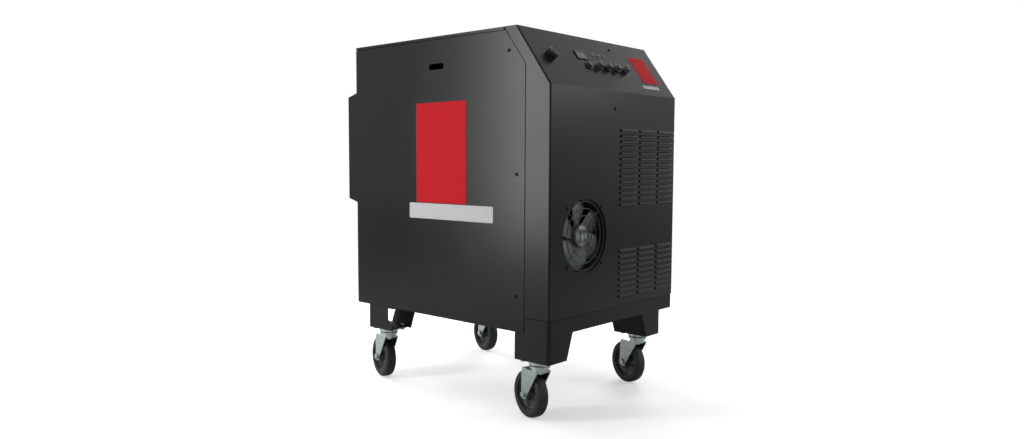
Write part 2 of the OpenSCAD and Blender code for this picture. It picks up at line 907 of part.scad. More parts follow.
// A hexagon bolt and nut that clamp the plates from z = 0 up to z = grip, head below
module hex_bolt(grip) {
    head_h = bolt_d * 0.66;
    head_d = bolt_d * 1.85;
    translate([0, 0, -head_h])
    cylinder(d = head_d, h = head_h, $fn = 6);
    translate([0, 0, -over / 2])
    cylinder(d = bolt_d, h = grip + head_h + 1.5);
    translate([0, 0, grip])
    cylinder(d = head_d, h = head_h, $fn = 6);
}

module frame_bolts() {
    color(zinc)
    in_cabinet()
    at_legs() {
        for (p = leg_bolt_spots)
            translate([p[0], p[1], body_foot_z - plate_t])
            hex_bolt(2 * plate_t);
        caster_bolt_spots()
        translate([0, 0, caster_plate_z])
        hex_bolt(caster_plate_t + plate_t);
    }
}

// ---- console controls ----
module filler_seal() {
    color("#1c1c1c")
    on_console()
    translate([cap_u - half_w, -seal_foot, cap_v])
    rotate([90, 0, 0])
    difference() {
        cylinder(d = neck_d - 1, h = seal_t);
        translate([0, 0, -over])
        cylinder(d = neck_d - 6, h = seal_t + 2 * over);
    }
}

module filler_cap() {
    skirt_foot = 1;
    grips = 12;
    color("#1a1b1c")
    on_console()
    translate([cap_u - half_w, 0, cap_v])
    rotate([90, 0, 0])
    difference() {
        union() {
            translate([0, 0, skirt_foot])
            cylinder(d = cap_d, h = cap_roof + 3 - skirt_foot);
            translate([0, 0, cap_roof + 3])
            cylinder(d1 = cap_d, d2 = cap_d - 4, h = cap_h - cap_roof - 3 + skirt_foot);
        }
        translate([0, 0, skirt_foot - over])
        cylinder(d = neck_d + 2 * free_clear, h = cap_roof - skirt_foot + over);
        for (i = [0 : grips - 1])
            rotate([0, 0, i * 360 / grips])
            translate([cap_d / 2 + 1.2, 0, 0])
            cylinder(d = 5, h = cap_h + 2 * over);
    }
}

module display_window() {
    color("#4a5358")
    on_console()
    translate([display_u - half_w, 0, display_v]) {
        front_extrude(-3, 0)
        square([display_w, display_h], center = true);
        front_extrude(-over / 4, module_depth)
        square([display_w - 7, display_h - 7], center = true);
    }
}

module indicator_lamps() {
    color("#a8452c")
    on_console()
    at_lamps()
    rotate([90, 0, 0]) {
        cylinder(d = lamp_d, h = 2);
        translate([0, 0, 2])
        cylinder(d1 = lamp_d, d2 = lamp_d - 3, h = 1.5);
        translate([0, 0, -8])
        cylinder(d = lamp_d - 3, h = 8 + over);
    }
}

stem_d = knob_shaft_d;
button_proud = 9;

module power_button() {
    cavity = sheet_t + 8;
    color("#2f3133")
    on_console()
    at_control(0)
    rotate([90, 0, 0]) {
        translate([0, 0, button_travel + 0.5 - cavity])
        cylinder(d = button_d, h = cavity + button_proud - button_travel - 2);
        translate([0, 0, button_proud - 1.5])
        cylinder(d1 = button_d, d2 = button_d - 3, h = 1.5);
        translate([0, 0, -cavity - 6])
        cylinder(d = stem_d, h = 8 + button_travel);
    }
}

// A knob with a pointer rib on a shaft that runs into the control behind the console
module knob(i, pointer_angle) {
    color("#191a1b")
    on_console()
    at_control(i)
    rotate([90, 0, 0])
    rotate([0, 0, pointer_angle]) {
        translate([0, 0, knob_foot])
        cylinder(d = knob_d, h = 3);
        translate([0, 0, knob_foot + 3])
        cylinder(d1 = knob_d - 3, d2 = knob_d - 5, h = knob_h - 4);
        translate([-1.5, 0, knob_foot + knob_h - 3])
        cube([3, knob_d / 2 - 2.6, 3]);
        translate([0, 0, -sheet_t - 12])
        cylinder(d = knob_shaft_d, h = sheet_t + 13 + knob_foot);
    }
}

module current_knob() {
    knob(1, 30);
}

module gas_select_knob() {
    knob(2, 0);
}

module plasma_pressure_knob() {
    knob(3, 45);
}

module shield_pressure_knob() {
    knob(4, -30);
}

module control_modules() {
    cavity = sheet_t + 8;
    bezel = 3;
    color("#33363a")
    on_console() {
        at_control(0)
        difference() {
            union() {
                translate([0, -bezel, 0])
                y_cylinder(button_d + 9, bezel);
                translate([0, -over, 0])
                y_cylinder(button_d + 5, sheet_t + 2 * over);
                box([-module_side / 2, module_side / 2], [sheet_t, sheet_t + module_depth],
                    [-module_side / 2, module_side / 2]);
            }
            translate([0, -bezel - over, 0])
            y_cylinder(button_d + 2 * free_clear, cavity + bezel + over + 0.5);
            translate([0, cavity - over, 0])
            y_cylinder(stem_d + 2 * running_clear, 8 + button_travel + over);
        }
        for (i = [1 : 4])
            at_control(i)
            difference() {
                box([-module_side / 2, module_side / 2], [sheet_t, sheet_t + module_depth],
                    [-module_side / 2, module_side / 2]);
                translate([0, sheet_t - over, 0])
                y_cylinder(knob_shaft_d + 2 * running_clear, 13 + over);
            }
    }
}

// ---- cooling fan ----
// Places children at the fan's centre with their z axis running inwards along +Y
module at_fan(y) {
    in_cabinet()
    translate([fan_cx, y, fan_cz])
    rotate([-90, 0, 0])
    children();
}

module ring(mean_d, wire) {
    rotate_extrude()
    translate([mean_d / 2, 0])
    circle(d = wire);
}

module fan_guard() {
    ring_step = (fan_open_d / 2 - 22) / (guard_rings - 1);
    mount_d = fan_open_d + 7;
    color("#3c4042")
    at_fan(guard_y) {
        for (i = [0 : guard_rings - 1])
            ring(2 * (16 + i * ring_step), guard_wire);
        ring(mount_d, guard_wire);
        for (a = [45 : 90 : 315])
            rotate([0, 0, a]) {
                translate([10, 0, guard_wire * 0.8])
                x_cylinder(guard_wire, mount_d / 2 - 8);
                translate([guard_screw_r, 0, -guard_wire / 2 - 0.4])
                difference() {
                    cylinder(d = screw_d + 6, h = guard_wire + 1);
                    translate([0, 0, -over])
                    cylinder(d = screw_d + 2 * bolt_clear, h = 2 * guard_wire);
                }
            }
    }
}

module fan_shroud() {
    plate_thick = 2.5;
    wall = 2.5;
    collar_y = fan_motor_y;
    boss = 14;
    color("#303336")
    in_cabinet()
    difference() {
        union() {
            box([fan_cx - shroud_side / 2, fan_cx + shroud_side / 2],
                [shroud_y, shroud_y + plate_thick],
                [fan_cz - shroud_side / 2, fan_cz + shroud_side / 2]);
            translate([fan_cx, shroud_y, fan_cz])
            y_cylinder(shroud_bore + 2 * wall, collar_y + 7 - shroud_y);
            for (x = [-1, 1], z = [-1, 1])
                translate([fan_cx + x * (shroud_side / 2 - boss), sheet_t,
                           fan_cz + z * (shroud_side / 2 - boss)])
                y_cylinder(boss, shroud_y - sheet_t + over);
        }
        translate([fan_cx, sheet_t - over, fan_cz])
        y_cylinder(shroud_bore, collar_y + 8);
        for (a = [45 : 90 : 315])
            translate([fan_cx + guard_screw_r * cos(a), 0, fan_cz + guard_screw_r * sin(a)])
            y_cylinder(screw_d + 2 * bolt_clear, shroud_y + 2 * plate_thick);
    }
    color("#303336")
    in_cabinet()
    difference() {
        union() {
            translate([fan_cx, collar_y, fan_cz])
            y_cylinder(fan_motor_d + 10, 16);
            for (a = [90 : 120 : 330])
                translate([fan_cx, collar_y, fan_cz])
                rotate([0, -a, 0])
                translate([fan_motor_d / 2 + 2, 0, -5])
                cube([(shroud_bore - fan_motor_d) / 2 - 0.7, 4, 10]);
        }
        translate([fan_cx, collar_y - over, fan_cz])
        y_cylinder(fan_motor_d, 18);
    }
}

module fan_impeller() {
    hub_r = fan_hub_d / 2;
    color("#c6cacb")
    at_fan(impeller_y) {
        difference() {
            union() {
                translate([0, 0, 4])
                cylinder(r = hub_r, h = impeller_len - 4);
                cylinder(r1 = hub_r - 4, r2 = hub_r, h = 4);
            }
            translate([0, 0, impeller_len - 12])
            cylinder(r = hub_r - 4, h = 13);
        }
        cylinder(d = 22, h = impeller_len);
        for (i = [0 : blade_count - 1])
            rotate([0, 0, i * 360 / blade_count])
            intersection() {
                difference() {
                    translate([0, 0, 0])
                    cylinder(d = impeller_d, h = impeller_len);
                    translate([0, 0, -over])
                    cylinder(r = hub_r - 2, h = impeller_len + 2 * over);
                }
                translate([0, 0, impeller_len / 2])
                rotate([blade_pitch, 0, 0])
                translate([hub_r / 2, -blade_chord / 2, -blade_t / 2])
                cube([impeller_d, blade_chord, blade_t]);
            }
        translate([0, 0, impeller_len - over])
        cylinder(d = 8, h = 5 + over + 16);
    }
}

module fan_motor() {
    color("#26282b")
    at_fan(fan_motor_y)
    difference() {
        union() {
            cylinder(d = fan_motor_d, h = fan_motor_len);
            translate([0, 0, fan_motor_len])
            cylinder(d = fan_motor_d * 0.6, h = 4);
            translate([-14, fan_motor_d / 2 - 4, 22])
            cube([28, 10, 26]);
        }
        translate([0, 0, -over])
        cylinder(d = 8 + 2 * running_clear, h = 22 + over);
    }
}

// ---- coolant circuit ----
module radiator() {
    header_h = 30;
    tubes = 11;
    fins = 12;
    half = radiator_side / 2;
    fin_foot = fan_cz - half + header_h;
    fin_gap = (radiator_side - 2 * header_h) / (fins + 1);
    tube_gap = (radiator_side - 20) / (tubes - 1);
    color("#9fa5a6")
    in_cabinet() {
        for (z = [fan_cz - half, fan_cz + half - header_h])
            box([fan_cx - half, fan_cx + half], [radiator_y, radiator_y + radiator_depth],
                [z, z + header_h]);
        for (i = [0 : tubes - 1])
            box([fan_cx - half + 8.5 + i * tube_gap, fan_cx - half + 11.5 + i * tube_gap],
                [radiator_y + 6, radiator_y + radiator_depth - 6],
                [fin_foot - over, fan_cz + half - header_h + over]);
        for (j = [1 : fins])
            box([fan_cx - half, fan_cx + half], [radiator_y + 3, radiator_y + radiator_depth - 3],
                [fin_foot + j * fin_gap - 0.5, fin_foot + j * fin_gap + 0.5]);
        for (s = [-1, 1])
            box([fan_cx + s * (half - 18) - 14, fan_cx + s * (half - 18) + 14],
                [radiator_y + 8, radiator_y + radiator_depth - 8],
                [floor_top_z, fan_cz - half + over]);
    }
}

module coolant_tank() {
    // The tank's sloped face runs parallel to the console
    front = tank_front_y;
    knee_z = slope_foot_z;
    roof_y = front + (tank_top_z - knee_z) * slope_run / slope_drop;
    color("#cfd2c8")
    in_cabinet()
    difference() {
        union() {
            side_extrude(tank_x, tank_x + tank_w)
            polygon([[front, shelf_z + sheet_t], [front, knee_z], [roof_y, tank_top_z],
                     [front + tank_len, tank_top_z], [front + tank_len, shelf_z + sheet_t]]);
            translate([0, 0, slope_foot_z])
            rotate([-slope_angle, 0, 0])
            translate([cap_u - half_w, -neck_proud, cap_v])
            y_cylinder(neck_d, neck_base + neck_proud);
        }
        translate([0, 0, slope_foot_z])
        rotate([-slope_angle, 0, 0])
        translate([cap_u - half_w, -neck_proud - over, cap_v])
        y_cylinder(neck_d - 6, neck_base + neck_proud);
    }
}

module pump_motor() {
    r = pump_motor_d / 2;
    color("#3f5a6b")
    in_cabinet()
    difference() {
        union() {
            translate([pump_x, pump_motor_y, pump_z])
            y_cylinder(pump_motor_d, pump_motor_len - 12);
            translate([pump_x, pump_motor_y + pump_motor_len - 12, pump_z])
            y_cylinder(pump_motor_d * 0.7, 12);
            for (i = [0 : 4])
                translate([pump_x, pump_motor_y + 30 + i * 26, pump_z])
                y_cylinder(pump_motor_d + 8, 4);
            box([pump_x - r, pump_x + r], [pump_motor_y + 34, pump_motor_y + 130],
                [floor_top_z, floor_top_z + 6]);
            box([pump_x - 26, pump_x + 26], [pump_motor_y + 40, pump_motor_y + 124],
                [floor_top_z, pump_z - r + 14]);
            box([pump_x - 30, pump_x + 30], [pump_motor_y + 50, pump_motor_y + 110],
                [pump_z + r - 8, pump_z + r + 16]);
        }
        translate([pump_x, coupling_y - 24, pump_z])
        y_cylinder(pump_shaft_d + 2 * running_clear, 24 + over);
    }
}

module pump_head() {
    r = pump_head_d / 2;
    color("#a78b4b")
    in_cabinet()
    difference() {
        union() {
            translate([pump_x, pump_head_y, pump_z])
            y_cylinder(pump_head_d, pump_head_len);
            translate([pump_x, pump_head_y + pump_head_len / 2, pump_z])
            cylinder(d = pipe_d + 10, h = r + 6);
            translate([pump_x, pump_head_y + pump_head_len - over, pump_z])
            y_cylinder(pipe_d + 10, 7);
            box([pump_x - 22, pump_x + 22], [pump_head_y + 10, pump_head_y + pump_head_len - 10],
                [floor_top_z, pump_z]);
            box([pump_x - 40, pump_x + 40], [pump_head_y + 6, pump_head_y + pump_head_len - 6],
                [floor_top_z, floor_top_z + 5]);
        }
        translate([pump_x, pump_head_y - over, pump_z])
        y_cylinder(pump_shaft_d + 2 * running_clear, 20 + over);
    }
}

module pump_coupling() {
    gap = 1.5;
    color("#7e8486")
    in_cabinet()
    translate([pump_x, 0, pump_z]) {
        translate([0, coupling_y - 20, 0])
        y_cylinder(pump_shaft_d, coupling_len + 36);
        translate([0, coupling_y + gap, 0])
        y_cylinder(40, coupling_len / 2 - gap - 2);
        translate([0, coupling_y + coupling_len / 2 + 2, 0])
        y_cylinder(40, coupling_len / 2 - gap - 2);
        translate([0, coupling_y + coupling_len / 2 - 2 - over / 2, 0])
        y_cylinder(32, 4 + over);
    }
}

// A pipe through the given points, along the axes, with an elbow block at each bend
module pipe(points) {
    for (i = [0 : len(points) - 2]) {
        a = points[i];
        d = points[i + 1] - a;
        length = norm(d);
        translate(a)
        rotate([0, acos(d[2] / length), atan2(d[1], d[0])])
        cylinder(d = pipe_d, h = length);
    }
    for (i = [1 : 1 : len(points) - 2])
        translate(points[i])
        cube(pipe_d + 5, center = true);
}

module coolant_pipes() {
    tank_back = tank_front_y + tank_len;
    inlet_y = pump_head_y + pump_head_len + 6;
    outlet_y = pump_head_y + pump_head_len / 2;
    outlet_z = pump_z + pump_head_d / 2 + 6;
    over_z = pump_z + pump_motor_d / 2 + 36;
    radiator_back = radiator_y + radiator_depth;
    lower_z = radiator_foot_z + 15;
    upper_z = radiator_foot_z + radiator_side - 15;
    supply_z = shelf_z + sheet_t + 36;
    torch_in = rear_in_y - 26;
    pipe_lead = 45;
    color("#3b4d57")
    in_cabinet() {
        pipe([[pump_x, tank_back, supply_z], [pump_x, inlet_y + pipe_lead, supply_z],
              [pump_x, inlet_y + pipe_lead, pump_z], [pump_x, inlet_y, pump_z]]);
        pipe([[pump_x, outlet_y, outlet_z], [pump_x, outlet_y, over_z],
              [pump_x, radiator_back + 26, over_z], [pump_x, radiator_back + 26, lower_z],
              [pump_x, radiator_back, lower_z]]);
        pipe([[torch_x, radiator_back, upper_z], [torch_x, torch_in - 60, upper_z],
              [torch_x, torch_in - 60, gland_cz], [torch_x, torch_in, gland_cz]]);
    }
}

// ---- power circuit ----
inductor_gap = 27;
inductor_x = bulkhead_x + 28 + inductor_d / 2;
inductor_y = body_len - rear_leg_inset - leg_len + 11 - inductor_d / 2;
core_y = inductor_y - inductor_d / 2 - inductor_gap - core_len;
core_x = bulkhead_x + 110;
core_foot = floor_top_z + 6;

module transformer_core() {
    window_w = (core_len - 3 * core_leg) / 2;
    color("#3a3d40")
    in_cabinet() {
        side_extrude(core_x - core_t / 2, core_x + core_t / 2)
        difference() {
            translate([core_y, core_foot])
            square([core_len, core_h]);
            for (i = [0, 1])
                translate([core_y + core_leg + i * (window_w + core_leg), core_foot + core_leg])
                square([window_w, core_h - 2 * core_leg]);
        }
        for (y = [core_y + 14, core_y + core_len - 44])
            box([core_x - core_t / 2 - 22, core_x + core_t / 2 + 22], [y, y + 30],
                [floor_top_z, core_foot + over]);
    }
}

module transformer_coils() {
    window_w = (core_len - 3 * core_leg) / 2;
    slack = 1;
    coil_foot = core_foot + core_leg;
    coil_h = core_h - 2 * core_leg - 4;
    color("#8a4f2a")
    in_cabinet()
    for (i = [0 : 2]) {
        y = core_y + core_leg / 2 + i * (core_leg + window_w);
        grow = min(coil_t, window_w / 2 - slack - 2);
        difference() {
            box([core_x - core_t / 2 - slack - grow, core_x + core_t / 2 + slack + grow],
                [y - core_leg / 2 - slack - grow, y + core_leg / 2 + slack + grow],
                [coil_foot, coil_foot + coil_h]);
            box([core_x - core_t / 2 - slack, core_x + core_t / 2 + slack],
                [y - core_leg / 2 - slack, y + core_leg / 2 + slack],
                [coil_foot - over, coil_foot + coil_h + over]);
        }
    }
}

module inductors() {
    color("#7a4a2c")
    in_cabinet()
    for (x = [inductor_x, inductor_x + inductor_d + 2])
        translate([x, inductor_y, floor_top_z])
        difference() {
            union() {
                cylinder(d = inductor_d * 0.9, h = 4);
                translate([0, 0, 4])
                cylinder(d = inductor_d, h = inductor_h);
                translate([0, 0, 4])
                cylinder(d = inductor_d / 2.6, h = inductor_h + 5);
            }
            translate([0, 0, -over])
            cylinder(d = bolt_d, h = inductor_h + 12);
        }
}

sink_y = bulkhead_y + 6;
sink_foot = shelf_z - 70;

module chopper_heatsink() {
    base = 14;
    fin_gap = (sink_h - 3) / (fin_count - 1);
    x = bulkhead_x + sheet_t;
    color("#aeb3b5")
    in_cabinet() {
        box([x, x + base], [sink_y, sink_y + sink_len], [sink_foot, sink_foot + sink_h]);
        for (i = [0 : fin_count - 1])
            box([x + base - over, x + base + 40], [sink_y, sink_y + sink_len],
                [sink_foot + i * fin_gap, sink_foot + i * fin_gap + 3]);
    }
}

module capacitors() {
    z = sink_foot + sink_h + 22 + cap_can_d / 2;
    color("#31363c")
    in_cabinet()
    for (i = [0 : 2])
        translate([bulkhead_x + sheet_t, sink_y + 44 + i * (cap_can_d + 16), z]) {
            x_cylinder(cap_can_d, cap_can_len);
            for (s = [-1, 1])
                translate([cap_can_len - over, s * cap_can_d / 5, 0])
                x_cylinder(12, 9);
        }
}

module contactor() {
    width = 96;
    depth = 88;
    x = power_x;
    z = gland_cz - 170;
    color("#3d4043")
    in_cabinet() {
        box([x - width / 2, x + width / 2], [rear_in_y - depth, rear_in_y], [z, z + 120]);
        box([x - width / 2 + 10, x + width / 2 - 10],
            [rear_in_y - depth - 22, rear_in_y - depth + over], [z + 26, z + 94]);
        for (i = [-1 : 1], lift = [4, 102])
            box([x + i * 28 - 9, x + i * 28 + 9],
                [rear_in_y - depth - 8, rear_in_y - depth + over], [z + lift, z + lift + 14]);
    }
}

module control_board() {
    stand = 8;
    board = 1.6;
    y = [rear_in_y - 20 - board_len, rear_in_y - 20];
    z = [sink_foot + 30, sink_foot + 30 + board_h];
    relay_pitch = (board_len - 26) / 4;
    driver_pitch = (board_len - 30) / 3;
    x = bulkhead_x + sheet_t;
    color("#2f6b46")
    in_cabinet() {
        box([x + stand, x + stand + board], y, z);
        for (post_y = [y[0] + 10, y[1] - 10], post_z = [z[0] + 10, z[1] - 10])
            translate([x, post_y, post_z])
            x_cylinder(8, stand + over / 2);
        for (i = [0 : 3])
            box([x + stand + board - over / 2, x + stand + board + 14],
                [y[0] + 24 + i * relay_pitch, y[0] + 8 + (i + 1) * relay_pitch],
                [z[0] + 40, z[0] + 70]);
        for (i = [0 : 2])
            box([x + stand + board - over / 2, x + stand + board + 22],
                [y[0] + 24 + i * driver_pitch, y[0] + 6 + (i + 1) * driver_pitch],
                [z[0] + 130, z[0] + 220]);
    }
}

module gas_manifold() {
    depth = 46;
    z = [gas_z - 24, gas_z + 24];
    color("#b2b6b8")
    in_cabinet() {
        box([gas_x[0] - 36, gas_x[1] + 36], [rear_in_y - sheet_t - depth, rear_in_y - sheet_t], z);
        for (x = gas_x)
            translate([x, rear_in_y - sheet_t - depth / 2, z[1] - over])
            cylinder(d = 34, h = sheet_top_z - z[1] - 6);
        for (x = [gas_x[0], gas_x[1]])
            translate([x, rear_in_y - sheet_t - over, gas_z])
            y_cylinder(gas_thread_d, sheet_t + over);
    }
}

// ---- rear fittings ----
module gas_inlets() {
    hex_d = gas_thread_d + 12;
    color("#b08d3e")
    in_cabinet()
    for (x = gas_x)
        translate([x, rear_in_y, gas_z]) {
            y_cylinder(gas_thread_d, sheet_t + 38);
            translate([0, sheet_t, 0])
            rotate([-90, 0, 0])
            cylinder(d = hex_d, h = 10, $fn = 6);
        }
}

// A cable gland through the rear panel: nut inside, body and dome outside, bore right through
module gland(bore) {
    body_d = bore + 13;
    difference() {
        union() {
            translate([0, -14, 0])
            y_cylinder(body_d, 14 + sheet_t + over);
            translate([0, -8, 0])
            rotate([-90, 0, 0])
            cylinder(d = bore + 26, h = 8, $fn = 6);
            translate([0, sheet_t, 0])
            rotate([-90, 0, 0])
            cylinder(d = bore + 26, h = 9, $fn = 6);
            translate([0, sheet_t + 9 - over, 0])
            y_cylinder(bore + 18, 16 + over);
            translate([0, sheet_t + 25, 0])
            rotate([-90, 0, 0])
            cylinder(d1 = bore + 18, d2 = bore + 8, h = 8);
        }
        translate([0, -16, 0])
        y_cylinder(bore, 60);
    }
}

module cable_glands() {
    color("#222426")
    in_cabinet() {
        translate([torch_x, rear_in_y, gland_cz])
        gland(torch_bore);
        translate([power_x, rear_in_y, gland_cz])
        gland(power_bore);
    }
}

module control_socket() {
    shell_d = 31;
    color("#8e9395")
    in_cabinet()
    translate([socket_x, rear_in_y, gland_cz])
    difference() {
        union() {
            translate([0, -16, 0])
            y_cylinder(shell_d, 16 + sheet_t + 14);
            front_extrude(sheet_t, sheet_t + 4)
            square([42, 42], center = true);
        }
        translate([0, sheet_t + 2, 0])
        difference() {
            y_cylinder(shell_d - 5, 14);
            for (ring_at = [[0, 1], [8, 7]], k = [0 : ring_at[1] - 1])
                rotate([0, k * 360 / ring_at[1], 0])
                translate([ring_at[0], -over, 0])
                y_cylinder(2, 10);
        }
    }
}

rocker_r = 11;
rocker_w = 12;

module breaker_body() {
    color("#202224")
    in_cabinet()
    translate([breaker_x, rear_in_y, gland_cz])
    difference() {
        union() {
            box([-9.5, 9.5], [-40, sheet_t + over], [-17.5, 17.5]);
            box([-14, 14], [sheet_t, sheet_t + 4], [-22, 22]);
        }
        translate([-rocker_w / 2 - free_clear, 0, 0])
        x_cylinder(2 * (rocker_r + free_clear), rocker_w + 2 * free_clear);
        box([-rocker_w / 2 - free_clear, rocker_w / 2 + free_clear], [0, sheet_t + 4 + over],
            [-rocker_r - free_clear, rocker_r + free_clear]);
        translate([-9.5 - over, 0, 0])
        x_cylinder(3 + 2 * running_clear, 19 + 2 * over);
    }
}

// The rocker turns about a pin along X; its lever stands out of the body
module breaker_rocker() {
    color("#b8bbbc")
    in_cabinet()
    translate([breaker_x, rear_in_y, gland_cz]) {
        translate([-rocker_w / 2, 0, 0])
        x_cylinder(2 * rocker_r, rocker_w);
        translate([-9, 0, 0])
        x_cylinder(3, 18);
        rotate([-14, 0, 0])
        box([-rocker_w / 2 + 1, rocker_w / 2 - 1], [rocker_r - 2, rocker_r + 9], [-4, 4]);
    }
}

// ---- casters ----
// Places children at caster i with the swivel axis at x = y = 0 and the trail along +y
module at_caster(i) {
    in_cabinet()
    translate([
        i == 1 || i == 3 ? half_w - right_leg_inset - kingpin_in : kingpin_in - half_w,
        i >= 2 ? body_len - rear_leg_inset - leg_len / 2 : leg_len / 2,
        0])
    rotate([0, 0, -caster_toe])
    children();
}

module caster_plates() {
    head_h = 6;
    color(zinc)
    for (i = [0 : 3])
        difference() {
            at_caster(i)
            union() {
                rotate([0, 0, caster_toe])
                translate([-caster_plate_w / 2, -caster_plate_l / 2, caster_plate_z])
                cube([caster_plate_w, caster_plate_l, caster_plate_t]);
                translate([0, 0, crown_top_z + face_gap])
                cylinder(d1 = race_d - 8, d2 = race_d, h = 4);
                translate([0, 0, crown_top_z + face_gap + 4])
                cylinder(d = race_d, h = upper_race_h - 4 + over);
                translate([0, 0, crown_foot_z - head_h])
                cylinder(d = kingpin_d, h = caster_plate_z - crown_foot_z + head_h);
                translate([0, 0, crown_foot_z - face_gap - head_h])
                cylinder(d = kingpin_d + 8, h = head_h);
            }
            in_cabinet()
            at_legs([i])
            caster_bolt_spots()
            translate([0, 0, caster_plate_z - over])
            cylinder(d = bolt_d + 2 * bolt_clear, h = caster_plate_t + 2 * over);
        }
}

fork_gap = hub_w + 2;          // between the fork's cheeks
axle_z = wheel_d / 2;

module fork_cheek_2d() {
    boss_r = axle_d / 2 + 8;
    difference() {
        union() {
            polygon([[-18, crown_foot_z + fork_t], [-14, crown_foot_z - 8],
                     [caster_trail - boss_r + 2, axle_z - 4], [caster_trail + boss_r, axle_z],
                     [caster_trail + boss_r, crown_foot_z - 12],
                     [caster_trail + boss_r - 4, crown_foot_z + fork_t]]);
            translate([caster_trail, axle_z])
            circle(boss_r);
        }
        translate([caster_trail, axle_z])
        circle(d = axle_d + 2 * running_clear);
    }
}

module caster_fork(i) {
    crown_w = fork_gap + 2 * fork_t;
    crown_d = race_d - 4;
    color(zinc)
    at_caster(i)
    difference() {
        union() {
            for (s = [0, 1])
                mirror([s, 0, 0])
                side_extrude(fork_gap / 2, crown_w / 2)
                fork_cheek_2d();
            box([-crown_w / 2, crown_w / 2], [-18, caster_trail + axle_d / 2 + 4],
                [crown_foot_z, crown_foot_z + fork_t]);
            translate([0, 0, crown_foot_z])
            cylinder(d = crown_d - 8, h = crown_top_z - crown_foot_z);
            translate([0, 0, crown_top_z - 5])
            cylinder(d = crown_d, h = 5);
        }
        translate([0, 0, crown_foot_z - over])
        cylinder(d = kingpin_d + 2 * running_clear, h = crown_top_z - crown_foot_z + 2 * over);
    }
}

module caster_axle(i) {
    head_h = 6;
    head_d = axle_d * 1.8;
    reach = fork_gap / 2 + fork_t;
    color("#9a9fa0")
    at_caster(i)
    translate([0, caster_trail, axle_z]) {
        translate([-reach - 3, 0, 0])
        x_cylinder(axle_d, 2 * reach + 6 + 7);
        for (x = [-reach - head_h, reach])
            translate([x, 0, 0])
            rotate([0, 90, 0])
            cylinder(d = head_d, h = head_h, $fn = 6);
    }
}

module caster_wheel(i) {
    r = wheel_d / 2;
    shoulder = 7;
    rim = r - 19;
    color("#232526")
    at_caster(i)
    translate([0, caster_trail, axle_z])
    rotate([0, 90, 0])
    rotate_extrude()
    difference() {
        union() {
            translate([rim, -wheel_w / 2])
            square([r - shoulder - rim, wheel_w]);
            translate([rim, shoulder - wheel_w / 2])
            square([r - rim, wheel_w - 2 * shoulder]);
            for (s = [-1, 1])
                translate([r - shoulder, s * (wheel_w / 2 - shoulder)])
                circle(shoulder);
            translate([axle_d / 2 + running_clear, -hub_w / 2])
            square([14, hub_w]);
            translate([axle_d / 2 + 4, 5 - wheel_w / 2])
            square([rim - axle_d / 2, wheel_w - 10]);
        }
        translate([-over, -hub_w])
        square([axle_d / 2 + running_clear + over, 2 * hub_w]);
    }
}

module caster_fork_front_left() {
    caster_fork(0);
}

module caster_fork_front_right() {
    caster_fork(1);
}

module caster_fork_rear_left() {
    caster_fork(2);
}

module caster_fork_rear_right() {
    caster_fork(3);
}

module caster_axle_front_left() {
    caster_axle(0);
}

module caster_axle_front_right() {
    caster_axle(1);
}

module caster_axle_rear_left() {
    caster_axle(2);
}

module caster_axle_rear_right() {
    caster_axle(3);
}

module caster_wheel_front_left() {
    caster_wheel(0);
}

module caster_wheel_front_right() {
    caster_wheel(1);
}

module caster_wheel_rear_left() {
    caster_wheel(2);
}

module caster_wheel_rear_right() {
    caster_wheel(3);
}

base_pan();
leg_front_left();
leg_front_right();
leg_rear_left();
leg_rear_right();
front_panel();
left_side_panel();
right_side_panel();
top_panel();
rear_panel();
rear_hood();
center_bulkhead();
panel_screws();
frame_bolts();
filler_seal();
filler_cap();
display_window();
indicator_lamps();
power_button();
current_knob();
gas_select_knob();
plasma_pressure_knob();
shield_pressure_knob();
control_modules();
fan_guard();
fan_shroud();
fan_impeller();
fan_motor();
radiator();
coolant_tank();
pump_motor();
pump_head();
pump_coupling();
coolant_pipes();
transformer_core();
transformer_coils();
inductors();
chopper_heatsink();
capacitors();
contactor();
control_board();
gas_manifold();
gas_inlets();
cable_glands();
control_socket();
breaker_body();
breaker_rocker();
caster_plates();
caster_fork_front_left();
caster_fork_front_right();
caster_fork_rear_left();
caster_fork_rear_right();
caster_axle_front_left();
caster_axle_front_right();
caster_axle_rear_left();
caster_axle_rear_right();
caster_wheel_front_left();
caster_wheel_front_right();
caster_wheel_rear_left();
caster_wheel_rear_right();
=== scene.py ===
import json
import math
import bmesh
import bpy
from mathutils import Matrix, Vector


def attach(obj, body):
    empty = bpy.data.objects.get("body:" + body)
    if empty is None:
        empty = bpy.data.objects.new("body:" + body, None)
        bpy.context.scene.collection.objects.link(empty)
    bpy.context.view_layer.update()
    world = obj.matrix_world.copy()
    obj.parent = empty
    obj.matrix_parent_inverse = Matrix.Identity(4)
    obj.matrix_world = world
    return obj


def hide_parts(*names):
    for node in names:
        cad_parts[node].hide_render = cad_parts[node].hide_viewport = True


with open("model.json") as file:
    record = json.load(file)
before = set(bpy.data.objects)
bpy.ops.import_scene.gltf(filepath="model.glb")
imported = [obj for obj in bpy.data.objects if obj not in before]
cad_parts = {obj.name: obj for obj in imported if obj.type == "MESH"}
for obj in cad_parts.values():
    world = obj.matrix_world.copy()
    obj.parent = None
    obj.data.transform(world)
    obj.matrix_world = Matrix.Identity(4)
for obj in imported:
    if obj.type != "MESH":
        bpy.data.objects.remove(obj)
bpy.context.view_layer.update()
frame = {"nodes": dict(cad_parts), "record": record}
nodes = frame["nodes"]


# ---- small helpers ----

def linear(hexColour):  # sRGB hex to linear RGBA
    channels = [int(hexColour[i:i + 2], 16) / 255 for i in (1, 3, 5)]
    return tuple(c / 12.92 if c <= 0.04045 else ((c + 0.055) / 1.055) ** 2.4 for c in channels) + (1.0,)


